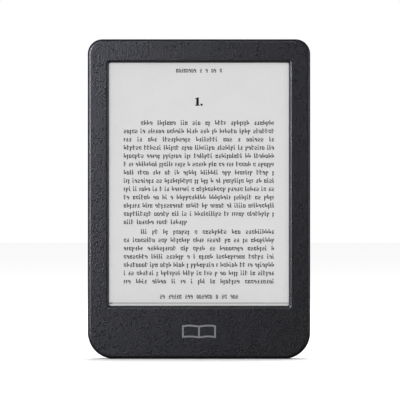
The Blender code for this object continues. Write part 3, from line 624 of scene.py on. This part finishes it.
# %% Socket shell, tongue and contacts
SHELL_WALL = 0.3 * MM
MOUTH_ROUND = 0.12 * MM
CONTACT_COUNT = 12
CONTACT_PITCH = 0.5 * MM
CONTACT_WIDTH = 0.25 * MM
CONTACT_PROUD = 0.02 * MM
CONTACT_LET_IN = 0.06 * MM
CONTACT_LENGTH = 3.6 * MM
CONTACT_SET_BACK = 0.4 * MM
BLADE_HALF_WIDTH = 3.3 * MM
BLADE_HALF_THICKNESS = 0.35 * MM
BLADE_CORNER = 0.15 * MM
BLADE_TIP_ROUND = 0.1 * MM
BLADE_ROOT = 0.3 * MM
BLADE_TIP_GAP = 0.9 * MM
BLOCK_HEIGHT = 1.9 * MM
BLOCK_GAP = 0.2 * MM

port_y = (port_low.y + port_high.y) / 2
blade_tip_z = port_low.z + BLADE_TIP_GAP


def make_socket_shell():
    """A round-ended tube with a rolled mouth."""
    bm = port_solid(0.0, port_low.z, port_high.z)
    bevel(bm, rim_at(bm, port_low.z, axis=2), MOUTH_ROUND, 4)
    shell = piece_from(bm, "socket_shell")
    bore = port_solid(-SHELL_WALL, port_low.z - CUT_PAST, port_high.z + CUT_PAST)
    carve(shell, "DIFFERENCE", bore)
    settle(shell, "root", "socket_steel", "usb_c_shell")


def make_socket_tongue():
    """A block that fills the far end of the shell, and the thin blade that stands on it."""
    block_z = port_high.z - BLOCK_HEIGHT
    block_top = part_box("usb_c_tongue")[1].z
    tongue = piece_from(port_solid(-SHELL_WALL - BLOCK_GAP, block_z, block_top), "socket_tongue")
    blade = slab(
        (middle.x - BLADE_HALF_WIDTH, port_y - BLADE_HALF_THICKNESS, blade_tip_z),
        (middle.x + BLADE_HALF_WIDTH, port_y + BLADE_HALF_THICKNESS, block_z + BLADE_ROOT),
        BLADE_CORNER,
        BLADE_CORNER,
        axis=2,
        segments=3,
    )
    bevel(blade, rim_at(blade, blade_tip_z, axis=2), BLADE_TIP_ROUND, 2)
    carve(tongue, "UNION", blade)
    settle(tongue, "root", "connector_plastic", "usb_c_tongue")


def make_contacts():
    """Twelve strips on each side of the blade, standing just proud of it."""
    bm = bmesh.new()
    height = 2 * CONTACT_PROUD + CONTACT_LET_IN
    centre_z = blade_tip_z + CONTACT_SET_BACK + CONTACT_LENGTH / 2
    for side in (1, -1):
        for number in range(CONTACT_COUNT):
            strip = bmesh.ops.create_cube(bm, size=1.0)["verts"]
            x = middle.x + (number - (CONTACT_COUNT - 1) / 2) * CONTACT_PITCH
            y = port_y + side * (BLADE_HALF_THICKNESS + CONTACT_PROUD - height / 2)
            bmesh.ops.scale(bm, vec=(CONTACT_WIDTH, height, CONTACT_LENGTH), verts=strip)
            bmesh.ops.translate(bm, vec=(x, y, centre_z), verts=strip)
    settle(piece_from(bm, "socket_contacts"), "root", "plug_gold")


make_socket_shell()
make_socket_tongue()
make_contacts()

# %% [markdown]
# ## The page
#
# An electronic page shows print on a pale grey ground.  It could be an image, but the
# frame allows none, and an image would go soft close up.  So each mark of the print is
# a thin raised shape just in front of the film.  The marks only stand in for letters:
# they are made of stems and bars on a small grid, and they spell nothing.

# %% Page: its measures
INK_DEPTH = 0.02 * MM
INK_BEDDED = 0.005 * MM
X_HEIGHT = 1.75 * MM
LINE_PITCH = 4.154 * MM
COLUMN_LEFT = -37.8 * MM
COLUMN_RIGHT = 37.7 * MM
FIRST_INDENT = 8.6 * MM
WORD_LENGTHS = (1, 2, 2, 3, 3, 4, 5, 6, 7, 8, 10)
WORD_SPACE = 1.25 * MM
LAST_LINE_SPACE = WORD_SPACE * 1.3
CENTRED_SPACE = WORD_SPACE * 1.8
PAGE_SEED = 7

film_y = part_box("touch_film")[0].y
ink_y = film_y + INK_BEDDED

# The grid of a mark, as shares of the x-height: stems and bars with gaps between them.
STEMS = (0.0, 0.245, 0.445, 0.69)
BARS = (-0.40, 0.0, 0.18, 0.42, 0.58, 0.83, 1.0, 1.38)
MARK_GAP = 0.185

# Rows run from the top of a tall mark down to the foot of a hanging one.
MARKS = (
    "... ##. #.# ### ..# .## ...",
    "#.. #.. #.# ### #.# #.. ...",
    "... ##. ..# ### #.. ### ...",
    "#.. ### #.. #.# #.. ##. ...",
    "... #.# #.# ### #.. ##. #..",
    "... .## .#. ### .#. ### ...",
    "... ### #.# #.. #.# .## ...",
    "#.. #.. #.# #.# ### ... ...",
    "... ##. #.# #.# #.# ### ...",
    "... #.# ### #.. #.# ### ...",
)
SLIM_MARKS = (
    "#. #. #. ## #. ## ..",
    "#. .. #. #. #. ## ..",
    ".. ## #. ## #. #. ..",
    ".. #. ## #. #. ## #.",
)
SLIM_SHARE = 0.3


# %% Page: marks and lines


def mark_shape(pattern):
    """One mark as a closed prism, one x-height tall, lying in X and Z with its back at 0."""
    rows = pattern.split()
    columns = len(rows[0])
    bm = bmesh.new()
    bmesh.ops.create_grid(bm, x_segments=columns, y_segments=len(rows), size=0.5)
    cells = {}
    for face in bm.faces:
        centre = face.calc_center_median()
        column = int((centre.x + 0.5) * columns)
        row = int((0.5 - centre.y) * len(rows))
        cells[face] = rows[row][column]
    for vert in bm.verts:
        column = round((vert.co.x + 0.5) * columns)
        row = round((vert.co.y + 0.5) * len(rows))
        vert.co = Vector((STEMS[column], 0.0, BARS[row])) * X_HEIGHT
    empty = [face for face, cell in cells.items() if cell == "."]
    bmesh.ops.delete(bm, geom=empty, context="FACES")
    grown = bmesh.ops.extrude_face_region(bm, geom=bm.faces[:])["geom"]
    front = [item for item in grown if isinstance(item, bmesh.types.BMVert)]
    bmesh.ops.translate(bm, vec=(0.0, -INK_DEPTH - INK_BEDDED, 0.0), verts=front)
    bmesh.ops.recalc_face_normals(bm, faces=bm.faces)
    mesh = bpy.data.meshes.new("mark")
    bm.to_mesh(mesh)
    bm.free()
    return mesh, STEMS[columns] * X_HEIGHT


def is_level(pattern):
    """True for a mark that neither stands above its neighbours nor hangs below them."""
    return pattern.startswith("...") and pattern.endswith("...")


WIDE = [mark_shape(pattern) for pattern in MARKS]
SLIM = [mark_shape(pattern) for pattern in SLIM_MARKS]
LEVEL = [shape for shape, pattern in zip(WIDE, MARKS) if is_level(pattern)]
print("marks:", len(WIDE), "wide,", len(SLIM), "slim,", len(LEVEL), "level")


def pick_word(draw, length, level=False):
    """The shapes of one word and its width."""
    if level:
        shapes = [draw.choice(LEVEL) for _ in range(length)]
    else:
        shapes = [draw.choice(SLIM if draw.random() < SLIM_SHARE else WIDE) for _ in range(length)]
    width = sum(shape[1] for shape in shapes) + (length - 1) * MARK_GAP * X_HEIGHT
    return shapes, width


def place_word(bm, shapes, left, baseline, tall=1.0):
    """Add the shapes to the bmesh side by side; tall stretches them upwards."""
    for mesh, width in shapes:
        known = len(bm.verts)
        bm.from_mesh(mesh)
        bm.verts.ensure_lookup_table()
        added = bm.verts[known:]
        bmesh.ops.scale(bm, vec=(1.0, 1.0, tall), verts=added)
        bmesh.ops.translate(bm, vec=(left, ink_y, baseline), verts=added)
        left += width + MARK_GAP * X_HEIGHT


def set_line(bm, draw, left, right, baseline, stretch=True):
    """Fill the line with words of one to ten marks; stretch makes both ends meet."""
    words, used = [], 0.0
    while True:
        word = pick_word(draw, draw.choice(WORD_LENGTHS))
        if used + word[1] + WORD_SPACE * len(words) > right - left:
            break
        words.append(word)
        used += word[1]
    space = (right - left - used) / (len(words) - 1) if stretch else LAST_LINE_SPACE
    for shapes, width in words:
        place_word(bm, shapes, left, baseline)
        left += width + space


def paragraph(name, lines, first_baseline, last_right, draw):
    """Lines set to the full column; the first starts with an indent."""
    bm = bmesh.new()
    for line in range(lines):
        left = COLUMN_LEFT + (FIRST_INDENT if line == 0 else 0.0)
        last = line == lines - 1 and last_right < COLUMN_RIGHT
        right = last_right if last else COLUMN_RIGHT
        set_line(bm, draw, left, right, floor_z + first_baseline - line * LINE_PITCH, not last)
    settle(piece_from(bm, name), "root", "screen_film")


def centred_line(name, words, half_width, baseline, cap_height, draw):
    """A short line of level marks, stretched to the given width about the middle."""
    bm = bmesh.new()
    chosen = [pick_word(draw, length, level=True) for length in words]
    total = sum(width for _, width in chosen) + CENTRED_SPACE * (len(chosen) - 1)
    left = -total / 2
    for shapes, width in chosen:
        place_word(bm, shapes, left, 0.0, cap_height / X_HEIGHT)
        left += width + CENTRED_SPACE
    bmesh.ops.scale(bm, vec=(2 * half_width / total, 1.0, 1.0), verts=bm.verts)
    bmesh.ops.translate(bm, vec=(middle.x, 0.0, floor_z + baseline), verts=bm.verts)
    settle(piece_from(bm, name), "root", "screen_film")


# %% Page: print it
# Each paragraph: its name, its lines, its first baseline and where its last line ends.
PARAGRAPHS = [
    ("page_paragraph_upper", 13, 117.55 * MM, 2.1 * MM),
    ("page_paragraph_lower", 7, 62.8 * MM, COLUMN_RIGHT),
]
# Each centred line: its name, its word lengths, half its width, its baseline, its height.
CENTRED_LINES = [
    ("page_header", (8, 1, 1, 2, 1), 11.5 * MM, 143.9 * MM, 1.85 * MM),
    ("page_footer", (2, 5, 3, 6, 1, 2, 3), 19.6 * MM, 30.25 * MM, 1.96 * MM),
]

draw = random.Random(PAGE_SEED)
for row in PARAGRAPHS:
    paragraph(*row, draw)
for row in CENTRED_LINES:
    centred_line(*row, draw)

# %% [markdown]
# The chapter number is a plain figure one with a full stop.  A font could draw it, but
# its few corners are quickly set down, and the corners of a slab serif stay crisp.  The
# two bars at the foot of the page show how far the reading has come.

# %% Page: chapter number and progress bars
NUMBER_FOOT = 127.2 * MM
NUMBER_LEFT = -1.86 * MM

# The figure's corners in millimetres from its lower left, anticlockwise.
NUMBER_CORNERS = [
    (0.0, 0.0), (2.2, 0.0), (2.2, 0.4), (1.75, 0.5), (1.75, 4.2),
    (1.35, 4.2), (0.0, 3.75), (0.0, 3.35), (0.5, 3.4), (0.5, 0.5), (0.0, 0.4),
]
STOP_CENTRE = (3.12, 0.5)
STOP_RADIUS = 0.6
STOP_SIDES = 20
TRACK_HEIGHTS = (27.72 * MM, 28.28 * MM)
TRACK_END_GAP = 0.4 * MM
DONE_SPAN = (-45.2 * MM, -43.5 * MM)


def ink_prism(bm, faces):
    """Draw the flat faces towards the reader as a closed layer of ink."""
    grown = bmesh.ops.extrude_face_region(bm, geom=faces)["geom"]
    front = [item for item in grown if isinstance(item, bmesh.types.BMVert)]
    bmesh.ops.translate(bm, vec=(0.0, -INK_DEPTH - INK_BEDDED, 0.0), verts=front)
    bmesh.ops.translate(bm, vec=(0.0, ink_y, 0.0), verts=bm.verts)
    bmesh.ops.recalc_face_normals(bm, faces=bm.faces)
    return bm


def make_number():
    """The figure one and the stop after it, drawn flat and then thickened."""
    bm = bmesh.new()
    foot = Vector((NUMBER_LEFT, 0.0, floor_z + NUMBER_FOOT))
    corners = [bm.verts.new(foot + Vector((x, 0.0, z)) * MM) for x, z in NUMBER_CORNERS]
    bm.faces.new(corners)
    radius = STOP_RADIUS * MM
    stop = bmesh.ops.create_circle(bm, cap_ends=True, radius=radius, segments=STOP_SIDES)["verts"]
    bmesh.ops.rotate(bm, verts=stop, matrix=Matrix.Rotation(math.radians(90), 3, "X"))
    centre = foot + Vector((STOP_CENTRE[0], 0.0, STOP_CENTRE[1])) * MM
    bmesh.ops.translate(bm, vec=centre, verts=stop)
    settle(piece_from(ink_prism(bm, bm.faces[:]), "page_number"), "root", "screen_film")


def make_bar(name, left, right):
    """One stretch of the bar that shows how much of the book has been read."""
    bm = bmesh.new()
    bmesh.ops.create_grid(bm, x_segments=1, y_segments=1, size=0.5)
    low, high = TRACK_HEIGHTS
    bmesh.ops.rotate(bm, verts=bm.verts, matrix=Matrix.Rotation(math.radians(90), 3, "X"))
    bmesh.ops.scale(bm, vec=(right - left, 1.0, high - low), verts=bm.verts)
    centre = ((left + right) / 2, 0.0, floor_z + (low + high) / 2)
    bmesh.ops.translate(bm, vec=centre, verts=bm.verts)
    settle(piece_from(ink_prism(bm, bm.faces[:]), name), "root", "screen_film")


make_number()
make_bar("progress_done", *DONE_SPAN)
make_bar("progress_track", DONE_SPAN[1], window_high.x + TRACK_END_GAP)

# %% [markdown]
# ## Effects that the finishes share
#
# No real surface has one flat colour.  Each effect below is a node group that is built
# once: it puts out a mask from 0 to 1 and a height, and every finish mixes its colours
# and its gloss by the mask and raises its bump by the height.  The patterns read object
# coordinates, so they sit still on the part, and their sizes are real sizes in metres.

# %% Groups: a builder for patterns
def add_node(tree, kind, inputs=None, **settings):
    """A shader node with its settings and its inputs set or linked."""
    node = tree.nodes.new("ShaderNode" + kind)
    for key, value in settings.items():
        setattr(node, key, value)
    for key, value in (inputs or {}).items():
        if isinstance(value, bpy.types.NodeSocket):
            tree.links.new(value, node.inputs[key])
        else:
            node.inputs[key].default_value = value
    return node


def new_effect(name, **inputs):
    """An empty group with number inputs, a Mask and a Height, and its place on the part."""
    group = bpy.data.node_groups.new(name, "ShaderNodeTree")
    for label, value in inputs.items():
        socket = group.interface.new_socket(label, in_out="INPUT", socket_type="NodeSocketFloat")
        socket.default_value = value
    for label in ("Mask", "Height"):
        group.interface.new_socket(label, in_out="OUTPUT", socket_type="NodeSocketFloat")
    given = group.nodes.new("NodeGroupInput")
    place = add_node(group, "TexCoord").outputs["Object"]
    return group, given.outputs, place


def put_out(group, mask, height):
    """Link the mask and the height to the outputs of the group."""
    out = group.nodes.new("NodeGroupOutput")
    group.links.new(mask, out.inputs["Mask"])
    group.links.new(height, out.inputs["Height"])


def noise(tree, place, size, detail=2.0, roughness=0.5):
    """Noise whose blotches are about size across, in metres."""
    scale = size if isinstance(size, bpy.types.NodeSocket) else 1.0 / size
    inputs = {"Vector": place, "Scale": scale, "Detail": detail, "Roughness": roughness}
    return add_node(tree, "TexNoise", inputs).outputs["Fac"]


def maths(tree, operation, first, second):
    """One sum of two values, each a number or the output of a node."""
    node = add_node(tree, "Math", operation=operation)
    for socket, value in zip(node.inputs, (first, second)):
        if isinstance(value, bpy.types.NodeSocket):
            tree.links.new(value, socket)
        else:
            socket.default_value = value
    return node.outputs[0]


def spread(tree, value, low, high, to_low=0.0, to_high=1.0):
    """Stretch what lies between low and high over the whole of another range."""
    inputs = {"Value": value, "From Min": low, "From Max": high}
    inputs.update({"To Min": to_low, "To Max": to_high})
    return add_node(tree, "MapRange", inputs).outputs["Result"]


def stretched(tree, place, factors):
    """The same places with each axis scaled, so that a pattern is drawn out along one."""
    return add_node(tree, "Mapping", {"Vector": place, "Scale": factors}).outputs["Vector"]


# %% [markdown]
# Moulded plastic has a spark-eroded grain: fine pits under a faint, larger mottle.  The
# same group serves foam, paper and resin with other sizes.  Brushed metal is noise that
# is drawn out along one axis.  Foil and tape have soft creases, a circuit board has
# traces under its lacquer, and a flat cable has straight conductors side by side.

# %% Groups: the effects
def make_grain():
    """Speckle and pits of a moulded surface under a broad, faint mottle."""
    group, given, place = new_effect("moulded_grain", Speckle=1600.0, Pits=4500.0, Mottle=0.35)
    speckle = spread(group, noise(group, place, given["Speckle"], 1.0, 0.6), 0.38, 0.62)
    broad = spread(group, noise(group, place, 9.0 * MM), 0.35, 0.65)
    pits = noise(group, place, given["Pits"], 2.0)
    kept = maths(group, "MULTIPLY", speckle, maths(group, "SUBTRACT", 1.0, given["Mottle"]))
    mask = maths(group, "ADD", kept, maths(group, "MULTIPLY", broad, given["Mottle"]))
    put_out(group, mask, maths(group, "ADD", maths(group, "MULTIPLY", pits, 0.4), speckle))
    return group


def make_brushing():
    """Fine lines along X with a cloud of wear over them."""
    group, given, place = new_effect("brushed_lines", Fineness=9000.0)
    along = noise(group, stretched(group, place, (0.02, 1.0, 1.0)), given["Fineness"], 4.0)
    cloud = noise(group, place, 6.0 * MM)
    fine = maths(group, "MULTIPLY", along, 0.7)
    mask = maths(group, "ADD", fine, maths(group, "MULTIPLY", cloud, 0.3))
    put_out(group, spread(group, mask, 0.3, 0.7), along)
    return group


def make_creases():
    """Ridges where soft foil or tape has folded."""
    group, given, place = new_effect("foil_creases", Folds=180.0)
    fold = noise(group, place, given["Folds"], 5.0, 0.6)
    ridge = maths(group, "ABSOLUTE", maths(group, "SUBTRACT", fold, 0.5), 0.0)
    put_out(group, spread(group, ridge, 0.0, 0.2), maths(group, "SUBTRACT", 1.0, ridge))
    return group


def make_traces():
    """The bands of a circuit under lacquer, and the weave of its board."""
    group, given, place = new_effect("board_traces", Pitch=900.0)
    grid = stretched(group, place, (1.0, 1.0, 0.45))
    inputs = {"Vector": grid, "Scale": given["Pitch"], "Randomness": 0.55}
    cells = add_node(group, "TexVoronoi", inputs, distance="MANHATTAN", feature="F1")
    bands = maths(group, "PINGPONG", maths(group, "MULTIPLY", cells.outputs["Distance"], 3.0), 0.5)
    lines = spread(group, bands, 0.18, 0.28)
    weave = noise(group, place, 0.4 * MM)
    drawn = maths(group, "MULTIPLY", lines, 0.75)
    mask = maths(group, "ADD", drawn, maths(group, "MULTIPLY", weave, 0.25))
    put_out(group, mask, lines)
    return group


def make_conductors():
    """Straight strips side by side, scuffed here and there."""
    group, given, place = new_effect("flat_conductors", Pitch=2000.0)
    inputs = {"Vector": place, "Scale": given["Pitch"], "Distortion": 0.0}
    waves = add_node(group, "TexWave", inputs, wave_type="BANDS", bands_direction="X")
    waves.wave_profile = "SIN"
    lines = spread(group, waves.outputs["Fac"], 0.45, 0.6)
    scuffs = spread(group, noise(group, place, 2.0 * MM), 0.4, 0.7, 0.75, 1.0)
    put_out(group, maths(group, "MULTIPLY", lines, scuffs), lines)
    return group


GRAIN, BRUSHED, CREASED = make_grain(), make_brushing(), make_creases()
TRACES, CONDUCTORS = make_traces(), make_conductors()
print("effects:", [group.name for group in bpy.data.node_groups])

# %% [markdown]
# ## Finishes
#
# A finish mixes two colours and two grades of gloss by the mask of one effect, and adds
# a bump.  Each material could be wired by hand; one function that reads a short row of
# values keeps them alike, so that what differs between plastic, foam and steel is easy
# to see.  A row gives the name, the effect, the dark and the light colour and the
# roughness where the mask is 0 and 1.

# %% Finish builder
FINISHES = {}


def finish(name, effect, dark, light, gloss, bump=0.1, depth=0.02 * MM, sizes=None, **constants):
    """A material: colours and roughness follow the mask, and the height gives the bump."""
    made = bpy.data.materials.new(name)
    made.use_nodes = True
    tree = made.node_tree
    shader = tree.nodes["Principled BSDF"]
    pattern = tree.nodes.new("ShaderNodeGroup")
    pattern.node_tree = effect
    for label, value in (sizes or {}).items():
        pattern.inputs[label].default_value = value
    mask = pattern.outputs["Mask"]
    ramp = add_node(tree, "ValToRGB", {"Fac": mask})
    for stop, colour in zip(ramp.color_ramp.elements, (dark, light)):
        stop.color = (*colour, 1.0)
    tree.links.new(ramp.outputs["Color"], shader.inputs["Base Color"])
    tree.links.new(spread(tree, mask, 0.0, 1.0, *gloss), shader.inputs["Roughness"])
    inputs = {"Height": pattern.outputs["Height"], "Strength": bump, "Distance": depth}
    tree.links.new(add_node(tree, "Bump", inputs).outputs["Normal"], shader.inputs["Normal"])
    for label, value in constants.items():
        shader.inputs[label.replace("_", " ")].default_value = value
    made.diffuse_color = (*light, 1.0)
    FINISHES[name] = made


# %% Finishes of what shows
PAGE_MATT = {"gloss": (0.85, 0.75), "bump": 0.05, "Specular_IOR_Level": 0.1}
BACK_DARK, BACK_LIGHT = (0.0055, 0.0056, 0.0066), (0.0120, 0.0122, 0.0140)

finish(
    "charcoal_front", GRAIN, (0.0018, 0.0018, 0.0028), (0.0110, 0.0110, 0.0138), (0.51, 0.26),
    bump=0.8, depth=0.05 * MM, sizes={"Mottle": 0.12},
)
finish(
    "charcoal_back", GRAIN, BACK_DARK, BACK_LIGHT, (0.58, 0.50),
    bump=0.8, depth=0.06 * MM, sizes={"Pits": 3200.0, "Mottle": 0.08},
)
finish("charcoal_cap", GRAIN, BACK_DARK, BACK_LIGHT, (0.48, 0.40), bump=0.3)
finish("sign_ink", GRAIN, (0.15, 0.155, 0.17), (0.19, 0.195, 0.21), (0.6, 0.5))
finish(
    "page_ground", GRAIN, (0.604, 0.604, 0.604), (0.628, 0.628, 0.628),
    sizes={"Speckle": 2200.0, "Pits": 6000.0}, **PAGE_MATT,
)
finish("page_ink", GRAIN, (0.005, 0.005, 0.005), (0.012, 0.012, 0.012), **PAGE_MATT)
finish("page_track", GRAIN, (0.30, 0.30, 0.30), (0.33, 0.33, 0.33), **PAGE_MATT)

# %% Finishes of the parts inside
METAL = {"Metallic": 1.0}

finish("panel_border", GRAIN, (0.50, 0.50, 0.49), (0.56, 0.56, 0.55), (0.35, 0.25))
finish(
    "guide_clear", GRAIN, (0.80, 0.84, 0.86), (0.88, 0.91, 0.92), (0.12, 0.06),
    Transmission_Weight=0.85, IOR=1.49,
)
finish(
    "lens_clear", GRAIN, (0.78, 0.80, 0.80), (0.88, 0.90, 0.90), (0.22, 0.14),
    Transmission_Weight=0.6, IOR=1.49,
)
finish(
    "foam", GRAIN, (0.006, 0.006, 0.0065), (0.018, 0.018, 0.019), (0.95, 0.85),
    bump=0.8, sizes={"Speckle": 3000.0, "Pits": 5000.0},
)
finish("chassis", BRUSHED, (0.38, 0.39, 0.40), (0.50, 0.51, 0.52), (0.5, 0.34), **METAL)
finish("steel", BRUSHED, (0.46, 0.46, 0.47), (0.60, 0.60, 0.61), (0.34, 0.2), **METAL)
finish("shield", BRUSHED, (0.52, 0.52, 0.51), (0.64, 0.64, 0.62), (0.4, 0.26), **METAL)
finish("screw", BRUSHED, (0.30, 0.30, 0.31), (0.44, 0.44, 0.45), (0.36, 0.22), **METAL)
finish("gold", BRUSHED, (0.70, 0.47, 0.16), (0.85, 0.60, 0.24), (0.3, 0.16), **METAL)
finish("copper", BRUSHED, (0.60, 0.30, 0.18), (0.76, 0.42, 0.26), (0.4, 0.24), **METAL)
finish("board", TRACES, (0.008, 0.040, 0.026), (0.020, 0.085, 0.052), (0.42, 0.28), bump=0.3)
finish(
    "resin", GRAIN, (0.010, 0.010, 0.011), (0.026, 0.026, 0.028), (0.55, 0.38),
    bump=0.3, sizes={"Speckle": 5000.0, "Pits": 12000.0},
)
finish("connector", GRAIN, (0.012, 0.012, 0.013), (0.024, 0.024, 0.026), (0.5, 0.4))
finish(
    "ribbon", CONDUCTORS, (0.14, 0.045, 0.010), (0.34, 0.15, 0.045), (0.4, 0.25), bump=0.3
)
finish(
    "pouch", CREASED, (0.50, 0.51, 0.53), (0.66, 0.67, 0.69), (0.42, 0.24),
    bump=0.5, Metallic=0.9,
)
finish("tape", CREASED, (0.62, 0.62, 0.60), (0.74, 0.74, 0.72), (0.6, 0.45), bump=0.3)
finish("red_lead", GRAIN, (0.30, 0.010, 0.008), (0.42, 0.020, 0.014), (0.45, 0.35))
finish("black_lead", GRAIN, (0.008, 0.008, 0.009), (0.018, 0.018, 0.019), (0.45, 0.35))
finish(
    "lamp_strip", CONDUCTORS, (0.55, 0.53, 0.44), (0.80, 0.78, 0.68), (0.5, 0.35),
    sizes={"Pitch": 300.0},
)
finish("lamp_lens", GRAIN, (0.72, 0.70, 0.52), (0.84, 0.82, 0.66), (0.3, 0.2))
print("finishes:", len(FINISHES))

# %% [markdown]
# ## Dressing every part
#
# Each new piece and each part carried over from the frame gets its finish by name.  The
# parts inside can't be seen until the reader is opened, but a part that is taken out of
# the library alone should look as real as the bezel.

# %% Dress the parts
DRESSED = {
    "charcoal_front": ["bezel"],
    "charcoal_back": ["back_cover"],
    "charcoal_cap": ["button_cap"],
    "sign_ink": ["book_sign"],
    "page_ground": ["touch_film"],
    "page_ink": [
        "page_header", "page_number", "page_paragraph_upper", "page_paragraph_lower",
        "page_footer", "progress_done",
    ],
    "page_track": ["progress_track"],
    "panel_border": ["e_paper_panel"],
    "guide_clear": ["light_guide"],
    "lens_clear": ["light_rod"],
    "foam": ["screen_gasket"],
    "chassis": ["mid_frame"],
    "steel": ["socket_shell", "switch_body"],
    "shield": ["shield_can", "crystal"],
    "screw": [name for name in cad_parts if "_screw_" in name],
    "gold": ["socket_contacts", "coax_plug"],
    "copper": ["antenna"],
    "board": ["main_board", "button_board", "battery_board", "wireless_module"],
    "resin": [
        "processor", "memory_chip", "storage_chip", "power_chip", "power_inductor",
        "display_driver", "hall_sensor",
    ],
    "connector": [
        "socket_tongue", "battery_socket", "battery_plug", "switch_plunger",
        "button_connector", "display_connector", "light_connector", "touch_connector",
    ],
    "ribbon": ["display_ribbon", "touch_ribbon", "light_ribbon", "button_ribbon"],
    "pouch": ["battery_pouch"],
    "tape": ["battery_tape_left", "battery_tape_right"],
    "red_lead": ["battery_lead_plus"],
    "black_lead": ["battery_lead_minus", "antenna_coax"],
    "lamp_strip": ["light_strip"],
    "lamp_lens": ["status_led"],
}


def dress(name, made):
    """Give the node or the piece its material, in its first slot."""
    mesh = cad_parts[name].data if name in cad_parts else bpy.data.objects[name].data
    if mesh.materials:
        mesh.materials[0] = made
    else:
        mesh.materials.append(made)


for finish_name, part_names in DRESSED.items():
    for part_name in part_names:
        dress(part_name, FINISHES[finish_name])

# The parts that the new pieces stand for are hidden, but they aren't left bare either.
REPLACED = [
    "front_bezel", "rear_cover", "power_button", "status_light_pipe", "usb_c_shell", "usb_c_tongue",
]
for part_name in REPLACED:
    dress(part_name, FINISHES["charcoal_back"])
dressed = {name for names in DRESSED.values() for name in names} | set(REPLACED)
print("not dressed:", sorted(set(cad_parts) - dressed))
